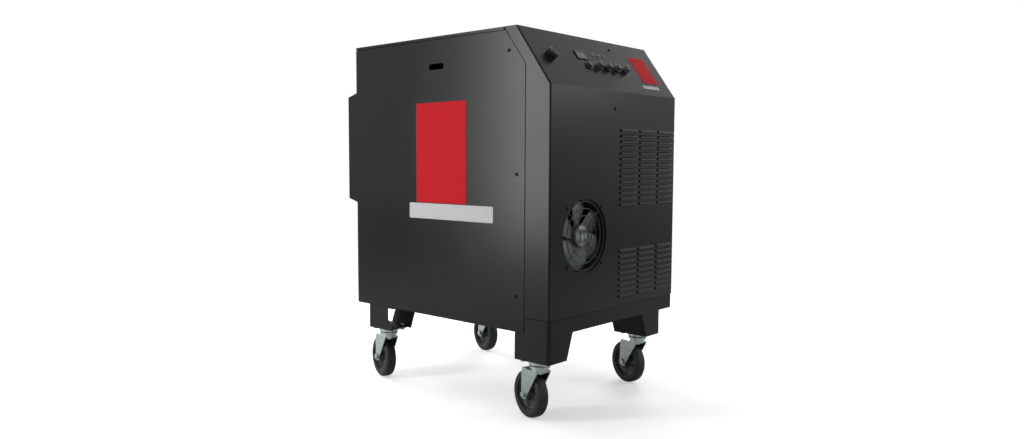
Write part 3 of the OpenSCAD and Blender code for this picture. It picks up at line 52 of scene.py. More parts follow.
def addNode(tree, kind, inputs=None, **settings):  # an input is a value, or the socket that feeds it
    node = tree.nodes.new(kind)
    for name, value in settings.items():
        setattr(node, name, value)
    for name, value in (inputs or {}).items():
        if isinstance(value, bpy.types.NodeSocket):
            tree.links.new(value, node.inputs[name])
        else:
            node.inputs[name].default_value = value
    return node


def meshObject(name, build):  # build(bm) fills an empty bmesh
    bm = bmesh.new()
    build(bm)
    bmesh.ops.recalc_face_normals(bm, faces=bm.faces)
    mesh = bpy.data.meshes.new(name)
    bm.to_mesh(mesh)
    bm.free()
    obj = bpy.data.objects.new(name, mesh)
    bpy.context.scene.collection.objects.link(obj)
    return obj


def finishPiece(obj, material, body, smoothAngle=None):
    obj.data.materials.clear()
    obj.data.materials.append(material)
    if smoothAngle is not None:
        obj.data.shade_smooth()
        obj.data.set_sharp_from_angle(angle=math.radians(smoothAngle))
    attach(obj, body)


def spanOf(corners):  # the lowest and the highest corner of a cloud of points
    return Vector(map(min, zip(*corners))), Vector(map(max, zip(*corners)))


# ---- camera, floor and light ----

view = {
    "place": (-1.834, -1.638, 0.674),  # metres
    "heading": -48.48,  # degrees from +Y towards +X, as a turn about Z
    "tiltDown": 4.16, "roll": 0.27,  # degrees
    "lens": 27.9,  # mm on a 36 mm wide sensor
}

cameraData = bpy.data.cameras.new("camera")
cameraData.lens = view["lens"]
cameraData.sensor_width = 36
camera = bpy.data.objects.new("camera", cameraData)
bpy.context.scene.collection.objects.link(camera)
camera.matrix_world = (
    Matrix.Translation(view["place"])
    @ Matrix.Rotation(math.radians(view["heading"]), 4, "Z")
    @ Matrix.Rotation(math.radians(90 - view["tiltDown"]), 4, "X")
    @ Matrix.Rotation(math.radians(view["roll"]), 4, "Z")
)
bpy.context.scene.camera = camera
bpy.context.scene.view_settings.view_transform = "Standard"

paper = {
    "size": 14.0, "fadeStart": 0.9, "fadeEnd": 2.3,  # metres, the last two out from the middle
    "colour": "#dededc", "lift": 0.42,  # lift is the light added to what the paper returns
}


def paperMaterial():
    # matt studio paper: an even pale tone that keeps the shadow and turns to white away from the object
    material = bpy.data.materials.new("studioPaper")
    material.use_nodes = True
    tree = material.node_tree
    tree.nodes.clear()
    path = addNode(tree, "ShaderNodeLightPath")
    place = addNode(tree, "ShaderNodeTexCoord")
    away = addNode(tree, "ShaderNodeVectorMath", {0: place.outputs["Object"]}, operation="LENGTH")
    fade = addNode(tree, "ShaderNodeMapRange", {
        "Value": away.outputs["Value"], "From Min": paper["fadeStart"], "From Max": paper["fadeEnd"],
    }, interpolation_type="SMOOTHSTEP")
    matt = addNode(tree, "ShaderNodeBsdfDiffuse", {"Color": linear(paper["colour"])})
    glow = addNode(tree, "ShaderNodeEmission", {"Color": (1, 1, 1, 1), "Strength": paper["lift"]})
    lit = addNode(tree, "ShaderNodeAddShader", {0: matt.outputs[0], 1: glow.outputs[0]})
    white = addNode(tree, "ShaderNodeEmission", {"Color": (1, 1, 1, 1), "Strength": 1.0})
    sweep = addNode(tree, "ShaderNodeMixShader", {0: fade.outputs[0], 1: lit.outputs[0], 2: white.outputs[0]})
    seen = addNode(tree, "ShaderNodeMixShader", {
        0: path.outputs["Is Camera Ray"], 1: matt.outputs[0], 2: sweep.outputs[0],
    })
    addNode(tree, "ShaderNodeOutputMaterial", {"Surface": seen.outputs[0]})
    return material


def floorSheet(bm):
    bmesh.ops.create_grid(bm, x_segments=1, y_segments=1, size=paper["size"] / 2)


floor = meshObject("floor", floorSheet)
floor.data.materials.append(paperMaterial())

lamps = {  # place, aim, width and height in metres, power in watts
    "sideSoftbox": ((-2.41, 1.36, 1.0), (-0.3, -0.3, 0.7), 0.35, 1.6, 46),
    "topSoftbox": ((-0.7, 0.3, 3.0), (0.0, 0.0, 0.5), 1.6, 2.0, 32),
    "frontSoftbox": ((1.9, -2.5, 1.6), (0.0, -0.3, 0.75), 1.4, 1.1, 22),
    "rightSoftbox": ((2.9, 1.1, 1.5), (0.3, 0.0, 0.6), 1.8, 1.8, 80),
    "rearSoftbox": ((0.5, 3.1, 1.7), (0.0, 0.3, 0.6), 1.8, 1.6, 80),
}
for name, (place, aim, width, height, power) in lamps.items():
    lampData = bpy.data.lights.new(name, "AREA")
    lampData.shape = "RECTANGLE"
    lampData.size = width
    lampData.size_y = height
    lampData.energy = power
    lamp = bpy.data.objects.new(name, lampData)
    bpy.context.scene.collection.objects.link(lamp)
    towards = (Vector(aim) - Vector(place)).to_track_quat("-Z", "Y")
    lamp.matrix_world = Matrix.Translation(place) @ towards.to_matrix().to_4x4()
    lamp.visible_camera = False

surroundings = {"colour": "#ffffff", "softLight": 0.3, "backdrop": 1.0}  # the last two are strengths
world = bpy.data.worlds.new("studio")
bpy.context.scene.world = world
world.use_nodes = True
worldTree = world.node_tree
worldTree.nodes.clear()
rays = addNode(worldTree, "ShaderNodeLightPath")
cameraOrGlossy = addNode(worldTree, "ShaderNodeMath", {
    0: rays.outputs["Is Camera Ray"], 1: rays.outputs["Is Glossy Ray"],
}, operation="ADD", use_clamp=True)
seenDirectly = addNode(worldTree, "ShaderNodeMath", {
    0: cameraOrGlossy.outputs[0], 1: rays.outputs["Is Transmission Ray"],
}, operation="ADD", use_clamp=True)
white = linear(surroundings["colour"])
softLight = addNode(worldTree, "ShaderNodeBackground", {
    "Color": white, "Strength": surroundings["softLight"],
})
backdrop = addNode(worldTree, "ShaderNodeBackground", {
    "Color": white, "Strength": surroundings["backdrop"],
})
worldMix = addNode(worldTree, "ShaderNodeMixShader", {
    0: seenDirectly.outputs[0], 1: softLight.outputs[0], 2: backdrop.outputs[0],
})
addNode(worldTree, "ShaderNodeOutputWorld", {"Surface": worldMix.outputs[0]})
print("camera, floor and light are placed")


# ---- materials ----

def newSurface(name, colour, **inputs):  # a material, its tree, its shader and object coordinates
    material = bpy.data.materials.new(name)
    material.use_nodes = True
    tree = material.node_tree
    tree.nodes.clear()
    shader = addNode(tree, "ShaderNodeBsdfPrincipled", {"Base Color": linear(colour)})
    for socket, value in inputs.items():
        shader.inputs[socket].default_value = value
    addNode(tree, "ShaderNodeOutputMaterial", {"Surface": shader.outputs[0]})
    place = addNode(tree, "ShaderNodeTexCoord").outputs["Object"]
    return material, tree, shader, place


def shade(colour, factor):  # the colour, darker or lighter by a factor, as RGBA
    return tuple(min(1.0, c * factor) for c in linear(colour)[:3]) + (1.0,)


def vary(tree, shader, colour, spread, amount, roughness, roughSpread):
    # patchy colour and roughness from one noise socket, most of whose values lie between 0.25 and 0.75
    tint = addNode(tree, "ShaderNodeMix", {
        0: amount, 6: shade(colour, 1 - spread), 7: shade(colour, 1 + spread),
    }, data_type="RGBA")
    rough = addNode(tree, "ShaderNodeMapRange", {
        "Value": amount, "From Min": 0.25, "From Max": 0.75,
        "To Min": roughness - roughSpread, "To Max": roughness + roughSpread,
    }, interpolation_type="SMOOTHSTEP")
    tree.links.new(tint.outputs[2], shader.inputs["Base Color"])
    tree.links.new(rough.outputs[0], shader.inputs["Roughness"])


def addRelief(tree, shader, height, distance, strength):
    bump = addNode(tree, "ShaderNodeBump", {"Height": height, "Distance": distance, "Strength": strength})
    tree.links.new(bump.outputs[0], shader.inputs["Normal"])


coat = {
    "cloud": 200, "tone": 0.18, "roughness": 0.01,  # millimetres, and how far tone and roughness wander
    "depth": 0.0004, "relief": 0.25,
}


def powderCoat(name, colour, roughness=0.36, level=0.1, peel=3.0):
    # baked polyester powder on steel: satin, with orange peel a few millimetres across
    material, tree, shader, place = newSurface(name, colour, IOR=1.5, **{"Specular IOR Level": level})
    cloud = addNode(tree, "ShaderNodeTexNoise", {
        "Vector": place, "Scale": 1000 / coat["cloud"], "Detail": 4.0, "Roughness": 0.6,
    })
    orangePeel = addNode(tree, "ShaderNodeTexNoise", {"Vector": place, "Scale": 1000 / peel, "Detail": 2.0})
    vary(tree, shader, colour, coat["tone"], cloud.outputs[0], roughness, coat["roughness"])
    addRelief(tree, shader, orangePeel.outputs[0], coat["depth"], coat["relief"])
    return material


finishSpread = 0.05  # how far the roughness of a metal or a moulded piece wanders
finishRelief = 0.3  # the strength of their relief


def metal(name, colour, roughness, grain=4.0, stretch=(1, 1, 1), spread=0.12, relief=0.0001):
    # bare or plated metal: even colour, with fine marks stretched along how it was worked
    material, tree, shader, place = newSurface(name, colour, Metallic=1.0)
    worked = addNode(tree, "ShaderNodeMapping", {"Vector": place, "Scale": stretch})
    marks = addNode(tree, "ShaderNodeTexNoise", {
        "Vector": worked.outputs[0], "Scale": 1000 / grain, "Detail": 3.0, "Roughness": 0.6,
    })
    vary(tree, shader, colour, spread, marks.outputs[0], roughness, finishSpread)
    addRelief(tree, shader, marks.outputs[0], relief, finishRelief)
    return material


plating = {
    "patch": 8, "haze": 60, "hazeShare": 0.6,  # millimetres across a patch, and clouds to a metre
    "tone": 0.15, "roughness": 0.34, "spread": 0.08, "depth": 0.0001, "relief": 0.2,
}


def zincPlate(name, colour):
    # bright zinc electroplate: pale blue-grey, faintly cloudy in patches about 8 mm across
    material, tree, shader, place = newSurface(name, colour, Metallic=1.0)
    patches = addNode(tree, "ShaderNodeTexVoronoi", {
        "Vector": place, "Scale": 1000 / plating["patch"], "Randomness": 1.0,
    })
    haze = addNode(tree, "ShaderNodeTexNoise", {"Vector": place, "Scale": plating["haze"], "Detail": 4.0})
    both = addNode(tree, "ShaderNodeMix", {
        0: plating["hazeShare"], 2: patches.outputs["Distance"], 3: haze.outputs[0],
    })
    vary(tree, shader, colour, plating["tone"], both.outputs[0], plating["roughness"], plating["spread"])
    addRelief(tree, shader, haze.outputs[0], plating["depth"], plating["relief"])
    return material


flowPatch = 25  # millimetres across a patch where the melt's flow shows


def moulded(name, colour, roughness, grain=1.2, level=0.4, relief=0.0001, spread=0.1, **more):
    # injection-moulded plastic or rubber: spark-eroded grain from the mould
    material, tree, shader, place = newSurface(name, colour, IOR=1.5, **{"Specular IOR Level": level}, **more)
    texture = addNode(tree, "ShaderNodeTexNoise", {"Vector": place, "Scale": 1000 / grain, "Detail": 2.0})
    patches = addNode(tree, "ShaderNodeTexNoise", {"Vector": place, "Scale": 1000 / flowPatch, "Detail": 3.0})
    vary(tree, shader, colour, spread, patches.outputs[0], roughness, finishSpread)
    addRelief(tree, shader, texture.outputs[0], relief, finishRelief)
    return material


def layered(name, colour, pitch, axis, roughness, metallic=0.0, darker=0.45):
    # stacked laminations, fins or turns of wire: a dark line at each pitch in millimetres.
    # The wave texture's bands lie 2 pi / 20 of a unit apart at a scale of 1.
    material, tree, shader, place = newSurface(name, colour, Metallic=metallic)
    wave = addNode(tree, "ShaderNodeTexWave", {
        "Vector": place, "Scale": 1000 / pitch * 2 * math.pi / 20, "Distortion": 0.0,
    }, wave_type="BANDS", bands_direction=axis)
    tint = addNode(tree, "ShaderNodeMix", {
        0: wave.outputs[1], 6: shade(colour, darker), 7: linear(colour),
    }, data_type="RGBA")
    tree.links.new(tint.outputs[2], shader.inputs["Base Color"])
    shader.inputs["Roughness"].default_value = roughness
    quarterPitch = pitch / 4000  # metres
    addRelief(tree, shader, wave.outputs[1], quarterPitch, 0.5)
    return material


finishes = {
    "cabinet_coat": powderCoat("cabinetPowderCoat", "#151618", roughness=0.255, level=0.13),  # satin black
    "frame_coat": powderCoat("framePowderCoat", "#1a1c1e", roughness=0.46),  # black, duller than the panels
    "bulkhead_steel": metal("galvanisedSheet", "#8f9596", 0.42, grain=8.0),  # mid grey with broad soft marks
    "zinc_steel": zincPlate("brightZincPlate", "#98a1a0"),  # bright and bluish, faintly clouded
    "dark_screw": metal("blackOxideSteel", "#151617", 0.5, grain=1.5),  # near black, with a dull sheen
    "seal_rubber": moulded("nitrileRubber", "#1b1b1b", 0.7, level=0.3),  # matt black
    "cap_plastic": moulded("blackNylonCap", "#17181a", 0.46),  # black, with a soft sheen on its edges
    "window_plastic": moulded("smokedAcrylic", "#3a4348", 0.12, grain=3.0, level=0.5,
                              relief=0.00001),  # dark and glossy
    "lamp_plastic": moulded("redPolycarbonateLens", "#8e2a1c", 0.2, grain=2.0, level=0.5,
                            relief=0.00002),  # deep red with a small bright highlight
    "button_plastic": moulded("blackAbsButton", "#1d1e20", 0.3),  # smooth black, with a clear highlight
    "knob_plastic": moulded("blackPhenolicKnob", "#141516", 0.38),  # deep black, half gloss
    "module_plastic": moulded("greyNylonModule", "#303336", 0.5),  # dull dark grey
    "guard_wire": powderCoat("guardWireCoat", "#151617", roughness=0.4, level=0.4,
                             peel=1.5),  # half gloss, so thin wire catches the light
    "shroud_plastic": moulded("glassFilledNylon", "#1d1f21", 0.55),  # matt black
    "blade_aluminium": metal("ductShadedBladeAluminium", "#555a5a", 0.62, grain=3.0,
                             stretch=(1, 1, 6)),  # grey and dull: rough aluminium, with its colour darkened as painted shade of the duct it sits in
    "fan_motor_coat": powderCoat("fanMotorEnamel", "#1b1d20", roughness=0.4, peel=2.0),  # black stove enamel
    "radiator_aluminium": layered("radiatorFins", "#8f9596", 1.6, "Z", 0.45,
                                  metallic=0.4),  # grey and finely lined
    "tank_plastic": moulded("naturalPolyethylene", "#c9cdc0", 0.45, grain=4.0, spread=0.05,
                            **{"Subsurface Weight": 0.2}),  # milky, and lets some light in
    "motor_coat": powderCoat("motorEnamel", "#35505f", roughness=0.4, peel=2.5),  # blue-grey enamel
    "pump_brass": metal("castBrass", "#b39c62", 0.45, grain=2.0,
                        relief=0.0002),  # dull yellow, sandy from the mould
    "shaft_steel": metal("turnedSteel", "#8d9192", 0.3, grain=2.0,
                         stretch=(1, 12, 1)),  # bright, with fine marks from the tool
    "pipe_rubber": moulded("coolantHoseRubber", "#22303a", 0.6),  # matt blue-black
    "core_steel": layered("coreLaminations", "#3c4043", 2.0, "X", 0.5,
                          metallic=0.6),  # dark, lined by the edges of thin sheets
    "winding_copper": layered("varnishedCopperTurns", "#7a3f22", 4.0, "Z", 0.3,
                              metallic=0.8),  # brown and glossy, turn upon turn
    "heatsink_aluminium": metal("extrudedAluminium", "#aeb4b6", 0.36, grain=3.0,
                                stretch=(1, 0.1, 1)),  # pale, with lines along the extrusion
    "capacitor_sleeve": moulded("capacitorSleeve", "#20262d", 0.25),  # smooth and shiny, dark blue
    "contactor_plastic": moulded("contactorPolyamide", "#2f3235", 0.5),  # dull dark grey
    "board_laminate": moulded("solderMaskLaminate", "#1f5a38", 0.3, grain=2.5),  # green, half gloss
    "manifold_aluminium": metal("anodisedAluminium", "#aab0b2", 0.4, grain=3.0),  # pale and silky
    "inlet_brass": metal("turnedBrass", "#c4ad70", 0.3, grain=0.6, stretch=(1, 4, 1), spread=0.05,
                         relief=0.00003),  # bright yellow, with fine rings
    "gland_plastic": moulded("blackPolyamideGland", "#1b1d1f", 0.45),  # black, half matt
    "socket_shell": metal("dieCastZinc", "#868b8d", 0.4, grain=2.0),  # grey, with a soft shine
    "breaker_plastic": moulded("blackBreakerPlastic", "#18191b", 0.4),  # black, half matt
    "rocker_plastic": moulded("paleRockerPlastic", "#b9bbbb", 0.3),  # pale grey and smooth
    "wheel_rubber": moulded("blackCasterRubber", "#141516", 0.55, grain=2.0, level=0.3),  # matt black
}
for part in frame["record"]["subparts"]:
    for materialSlot in nodes[part["node"]].material_slots:
        materialSlot.material = finishes[part["material_slot"]]
print("materials:", len(finishes))


# ---- places on the cabinet ----

cabinet = {  # metres
    "halfWidth": 0.3, "front": -0.405, "rear": 0.365,
    "slopeFoot": 0.8668, "slopeRun": 0.112, "slopeDrop": 0.154,
    "margin": 0.02,  # a screw this near a side, or this far above the slope's foot, sits on that surface
}
up = Vector((0, 0, 1))


def surfaceFrame(place, heading=0, slope=0.0):
    # X runs to the right as seen from outside, Y up and Z out of the surface; slope tips the surface back
    turn = Matrix.Rotation(math.radians(heading), 4, "Z")
    return Matrix.Translation(place) @ turn @ Matrix.Rotation(math.radians(90) - slope, 4, "X")


slopeAngle = math.atan2(cabinet["slopeRun"], cabinet["slopeDrop"])
frontFrame = surfaceFrame((0, cabinet["front"], 0))
consoleFrame = surfaceFrame((0, cabinet["front"], cabinet["slopeFoot"]), slope=slopeAngle)
leftFrame = surfaceFrame((-cabinet["halfWidth"], cabinet["front"], 0), heading=-90)
rightFrame = surfaceFrame((cabinet["halfWidth"], cabinet["front"], 0), heading=90)


# ---- shapes made of rings ----

def turned(bm, rings, steps, place=Matrix(), closed=False):
    # rings of (height, radius) about Z, each a length in metres or a function of the angle.
    # The ends are filled, or joined to each other when closed. In the profiles below, a small
    # offset from a named size rounds or chamfers its edge.
    loops = []
    for height, radius in rings:
        loop = []
        for i in range(steps):
            angle = 2 * math.pi * i / steps
            r = radius(angle) if callable(radius) else radius
            z = height(angle) if callable(height) else height
            loop.append(bm.verts.new(place @ Vector((r * math.cos(angle), r * math.sin(angle), z))))
        loops.append(loop)
    pairs = list(zip(loops, loops[1:])) + ([(loops[-1], loops[0])] if closed else [])
    for lower, upper in pairs:
        for i in range(steps):
            j = (i + 1) % steps
            bm.faces.new((lower[i], lower[j], upper[j], upper[i]))
    if not closed:
        bm.faces.new(list(reversed(loops[0])))
        bm.faces.new(loops[-1])


def hexagon(acrossCorners, limit=1.0):  # a hexagon's radius at an angle, cut off at a circle
    halfSide = math.pi / 6  # the angle of half a side, seen from the middle

    def radius(angle):
        outOfMiddle = angle % (2 * halfSide) - halfSide
        return min(limit, acrossCorners / 2 * math.cos(halfSide) / math.cos(outOfMiddle))
    return radius


# ---- trees of Geometry Nodes ----

def newTree(name, **kinds):  # a tree, its own inputs by name, and the node that gives their values
    tree = bpy.data.node_groups.new(name, "GeometryNodeTree")
    tree.interface.new_socket("Geometry", in_out="INPUT", socket_type="NodeSocketGeometry")
    inputs = {}
    for label, kind in kinds.items():
        inputs[label] = tree.interface.new_socket(label, in_out="INPUT", socket_type="NodeSocket" + kind)
    tree.interface.new_socket("Geometry", in_out="OUTPUT", socket_type="NodeSocketGeometry")
    return tree, inputs, addNode(tree, "NodeGroupInput")


def closeTree(tree, geometry, material):  # makes the copies real and gives them their finish
    solid = addNode(tree, "GeometryNodeRealizeInstances", {"Geometry": geometry})
    coated = addNode(tree, "GeometryNodeSetMaterial", {"Geometry": solid.outputs[0], "Material": material})
    addNode(tree, "NodeGroupOutput", {"Geometry": coated.outputs[0]})


def grow(piece, tree, inputs, **values):  # runs the tree on the piece and keeps the result as a plain mesh
    modifier = piece.modifiers.new(tree.name, "NODES")
    modifier.node_group = tree
    for label, value in values.items():
        modifier[inputs[label].identifier] = value
    grown = piece.evaluated_get(bpy.context.evaluated_depsgraph_get())
    result = bpy.data.meshes.new_from_object(grown)
    piece.modifiers.clear()
    piece.data = result


# ---- the same shape at many places ----

def scatter(name, shape, spots, material, turn=0.0):
    # spots are (place, outward direction); turn is the largest random turn about that direction
    template = meshObject(name + "Shape", shape)
    bm = bmesh.new()
    facingLayer = bm.verts.layers.float_vector.new("facing")
    for place, facing in spots:
        bm.verts.new(place)[facingLayer] = facing
    mesh = bpy.data.meshes.new(name)
    bm.to_mesh(mesh)
    bm.free()
    piece = bpy.data.objects.new(name, mesh)
    bpy.context.scene.collection.objects.link(piece)

    tree, inputs, start = newTree(name + "Tree", largestTurn="Float")
    source = addNode(tree, "GeometryNodeObjectInfo", {"Object": template})
    outward = addNode(tree, "GeometryNodeInputNamedAttribute", {"Name": "facing"}, data_type="FLOAT_VECTOR")
    aligned = addNode(tree, "FunctionNodeAlignRotationToVector", {
        "Vector": outward.outputs["Attribute"],
    }, axis="Z")
    angle = addNode(tree, "FunctionNodeRandomValue", {
        2: 0.0, 3: start.outputs["largestTurn"], "Seed": 3,
    }, data_type="FLOAT")
    spin = addNode(tree, "FunctionNodeAxisAngleToRotation", {"Axis": up, "Angle": angle.outputs[1]})
    rotation = addNode(tree, "FunctionNodeRotateRotation", {
        "Rotation": aligned.outputs[0], "Rotate By": spin.outputs[0],
    }, rotation_space="LOCAL")
    copies = addNode(tree, "GeometryNodeInstanceOnPoints", {
        "Points": start.outputs["Geometry"], "Instance": source.outputs["Geometry"],
        "Rotation": rotation.outputs[0],
    })
    closeTree(tree, copies.outputs[0], material)
    grow(piece, tree, inputs, largestTurn=turn)
    bpy.data.objects.remove(template)
    return piece


# ---- generic plates on the side and the console ----

film = {"proud": 0.0004, "sunk": 0.0002}  # metres above and below the coat
plates = {  # frame, centre, width, height and corner radius in metres
    "sideBlock": (leftFrame, (-0.394, 0.698), 0.200, 0.282, 0.006),
    "sideBar": (leftFrame, (-0.358, 0.533), 0.331, 0.044, 0.004),
    "consoleBlock": (consoleFrame, (0.202, 0.0945), 0.080, 0.096, 0.004),
    "consoleBar": (consoleFrame, (0.190, 0.030), 0.088, 0.012, 0.003),
}


def roundedOutline(centre, width, height, radius, steps=6):  # a rectangle with round corners
    outline = []
    for cx, cy, start in ((1, 1, 0), (-1, 1, 90), (-1, -1, 180), (1, -1, 270)):
        for step in range(steps + 1):
            angle = math.radians(start + step * 90 / steps)
            outline.append((centre[0] + cx * (width / 2 - radius) + radius * math.cos(angle),
                            centre[1] + cy * (height / 2 - radius) + radius * math.sin(angle)))
    return outline


def stacked(bm, place, outlines, closed=False):
    # joins outlines of (x, y) points, as many in each, and each given with its height
    loops = [[bm.verts.new(place @ Vector((x, y, z))) for x, y in outline] for z, outline in outlines]
    for lower, upper in list(zip(loops, loops[1:])) + ([(loops[-1], loops[0])] if closed else []):
        for i in range(len(lower)):
            j = (i + 1) % len(lower)
            bm.faces.new((lower[i], lower[j], upper[j], upper[i]))
    if not closed:
        bm.faces.new(list(reversed(loops[0])))
        bm.faces.new(loops[-1])


redFilm = moulded("redVinylFilm", "#b0141d", 0.55, grain=3.0, level=0.06, spread=0.05)  # even, matt red
paleFilm = moulded("paleVinylFilm", "#b4b5b6", 0.55, grain=3.0, level=0.06, spread=0.04)  # even, matt grey
for name, (place, centre, width, height, radius) in plates.items():
    outline = roundedOutline(centre, width, height, radius)
    layers = [(-film["sunk"], outline), (film["proud"], outline)]
    piece = meshObject(name, lambda bm: stacked(bm, place, layers))
    finishPiece(piece, redFilm if "Block" in name else paleFilm, "cabinet")
print("plates:", len(plates))


# ---- dark cords in the seams beside the front panel's wraps, as painted shade of the seams ----

seamShade = {  # metres; the cord stands upright to the corner, then leans back with the console
    "sides": (-0.2991, 0.2991), "back": -0.3235, "foot": 0.2745, "corner": 0.9218, "top": 1.0105,
    "lean": 0.763,  # how far it runs back for each metre that it rises
    "radius": 0.00085,
}


def seamPaths(bm):
    leanBack = seamShade["lean"] * (seamShade["top"] - seamShade["corner"])
    spots = [(seamShade["back"], seamShade["foot"]), (seamShade["back"], seamShade["corner"]),
             (seamShade["back"] + leanBack, seamShade["top"])]
    for x in seamShade["sides"]:
        verts = [bm.verts.new((x, y, z)) for y, z in spots]
        for low, high in zip(verts, verts[1:]):
            bm.edges.new((low, high))


def cordTree():  # a round cord along the edges it is given
    tree, inputs, start = newTree("cordTree", radius="Float", sides="Int")
    path = addNode(tree, "GeometryNodeMeshToCurve", {"Mesh": start.outputs["Geometry"]})
    section = addNode(tree, "GeometryNodeCurvePrimitiveCircle", {
        "Resolution": start.outputs["sides"], "Radius": start.outputs["radius"],
    })
    cord = addNode(tree, "GeometryNodeCurveToMesh", {
        "Curve": path.outputs[0], "Profile Curve": section.outputs[0], "Fill Caps": True,
    })
    closeTree(tree, cord.outputs[0], finishes["seal_rubber"])
    return tree, inputs


# the dark rubber cord in each seam is painted shade: it stands for the shadow deep in the seam, where the
# real panel has no seal
shadeCords = meshObject("seamCords", seamPaths)
grow(shadeCords, *cordTree(), radius=seamShade["radius"], sides=12)
finishPiece(shadeCords, finishes["seal_rubber"], "cabinet", smoothAngle=60)
print("seam cords:", len(seamShade["sides"]))


# ---- fasteners ----

screw = {"head": 0.00475, "height": 0.00225, "socket": 0.0035, "depth": 0.0013, "sunk": 0.004}  # metres
bolt = {"thread": 0.004, "corners": 0.0148, "height": 0.00528, "standOut": 0.0015}
weldDistance = 1e-6  # metres within which two corners are one


def solidsOf(node):  # the corner positions of each separate solid of a CAD node
    bm = bmesh.new()
    bm.from_mesh(node.data)
    bmesh.ops.remove_doubles(bm, verts=bm.verts, dist=weldDistance)
    met = set()
    solids = []
    for first in bm.verts:
        if first in met:
            continue
        met.add(first)
        waiting = [first]
        solid = []
        while waiting:
            vert = waiting.pop()
            solid.append(node.matrix_world @ vert.co)
            for link in vert.link_edges:
                other = link.other_vert(vert)
                if other not in met:
                    met.add(other)
                    waiting.append(other)
        solids.append(solid)
    bm.free()
    # in order of place, which is the same in each run
    return sorted(solids, key=lambda solid: [round(c, 5) for c in spanOf(solid)[0]])


def screwHead(bm):  # a low pan head with a hexagon socket
    head, height, socket = screw["head"], screw["height"], hexagon(screw["socket"])
    shank = [(-screw["sunk"], head * 0.5), (0, head * 0.52)]
    dome = [(0, head * 0.96), (0.0003, head), (height * 0.45, head * 0.98), (height * 0.8, head * 0.86),
            (height * 0.96, head * 0.66), (height, head * 0.5)]
    turned(bm, shank + dome + [(height, socket), (height - screw["depth"], socket)], 36)


screwSpots = []
for corners in solidsOf(nodes["panel_screws"]):
    low, high = spanOf(corners)
    middle = (low + high) / 2
    if abs(middle.x) > cabinet["halfWidth"] - cabinet["margin"]:
        surface = leftFrame if middle.x < 0 else rightFrame
    else:
        surface = consoleFrame if middle.z > cabinet["slopeFoot"] + cabinet["margin"] else frontFrame
    spot = surface.inverted() @ middle
    screwSpots.append((surface @ Vector((spot.x, spot.y, 0)), surface.to_3x3() @ up))
panelScrews = scatter("panelScrews", screwHead, screwSpots, finishes["dark_screw"], turn=math.pi)
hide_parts("panel_screws")
finishPiece(panelScrews, finishes["dark_screw"], "cabinet", smoothAngle=35)


def hexBolt(grip):  # a chamfered head below, a nut above, and the thread through the sheets they grip
    corners, height = bolt["corners"], bolt["height"]
    flat, chamfer = hexagon(corners), hexagon(corners, corners * 0.455)
    thread = bolt["thread"]
    washerFace, end = corners * 0.47, grip + height  # washerFace is the round face that bears on the steel
    head = [(-height, chamfer), (-height * 0.9, flat), (-0.0004, flat), (0, washerFace), (0, thread)]
    nut = [(grip, thread), (grip, washerFace), (grip + 0.0004, flat), (grip + height * 0.88, flat),
           (end, chamfer)]
    tip = [(end, thread), (end + bolt["standOut"] * 0.6, thread), (end + bolt["standOut"], thread * 0.8)]
    return lambda bm: turned(bm, head + nut + tip, 36)


boltSpots = {}
for corners in solidsOf(nodes["frame_bolts"]):
    low, high = spanOf(corners)
    grip = round(high.z - low.z - 2 * bolt["height"] - bolt["standOut"], 4)
    foot = Vector(((low.x + high.x) / 2, (low.y + high.y) / 2, low.z + bolt["height"]))
    boltSpots.setdefault(grip, []).append((foot, up))
for grip, spots in boltSpots.items():
    name = "frameBolts" + str(round(grip * 1000))
    bolts = scatter(name, hexBolt(grip), spots, finishes["zinc_steel"], turn=math.pi)
    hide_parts("frame_bolts")
    finishPiece(bolts, finishes["zinc_steel"], "cabinet", smoothAngle=30)
print("fasteners:", len(screwSpots), "screws,", sum(map(len, boltSpots.values())), "bolts")


# ---- fan ----

fan = {
    "centre": (-0.152, -0.3946, 0.4798),  # the hub's front, in metres
    "hub": 0.028, "tip": 0.0915, "depth": 0.0304,
    "turn": 30, "rootPitch": 21, "tipPitch": 12,  # degrees
    "blades": 6, "rootChord": 0.042, "tipChord": 0.080,
    "camber": 0.08,  # a share of the chord
    "thickness": 0.0022, "edge": 0.0001,  # metres; edge is half of what is left at the blade's edges
    "root": 0.93,  # the blade's start, a share of the hub's radius
    "widening": 0.62,  # the chord widens from root to tip as this much of half a sine wave
    "rounding": 0.2, "taper": 0.35,  # the tip's share that is rounded, and the share of the chord it takes
    "sweep": 0.12,  # radians from root to tip
    "setBack": 0.0022,  # metres behind the hub's middle
}


def bladeSection(t):  # the radius, chord, pitch and sweep at a share t of the blade's length
    root = fan["hub"] * fan["root"]
    chord = fan["rootChord"] + (fan["tipChord"] - fan["rootChord"]) * math.sin(t * math.pi * fan["widening"])
    chord *= 1 - fan["taper"] * max(0, t - (1 - fan["rounding"])) / fan["rounding"]
    pitch = math.radians(fan["rootPitch"] + (fan["tipPitch"] - fan["rootPitch"]) * t)
    return root + t * (fan["tip"] - root), chord, pitch, fan["sweep"] * t


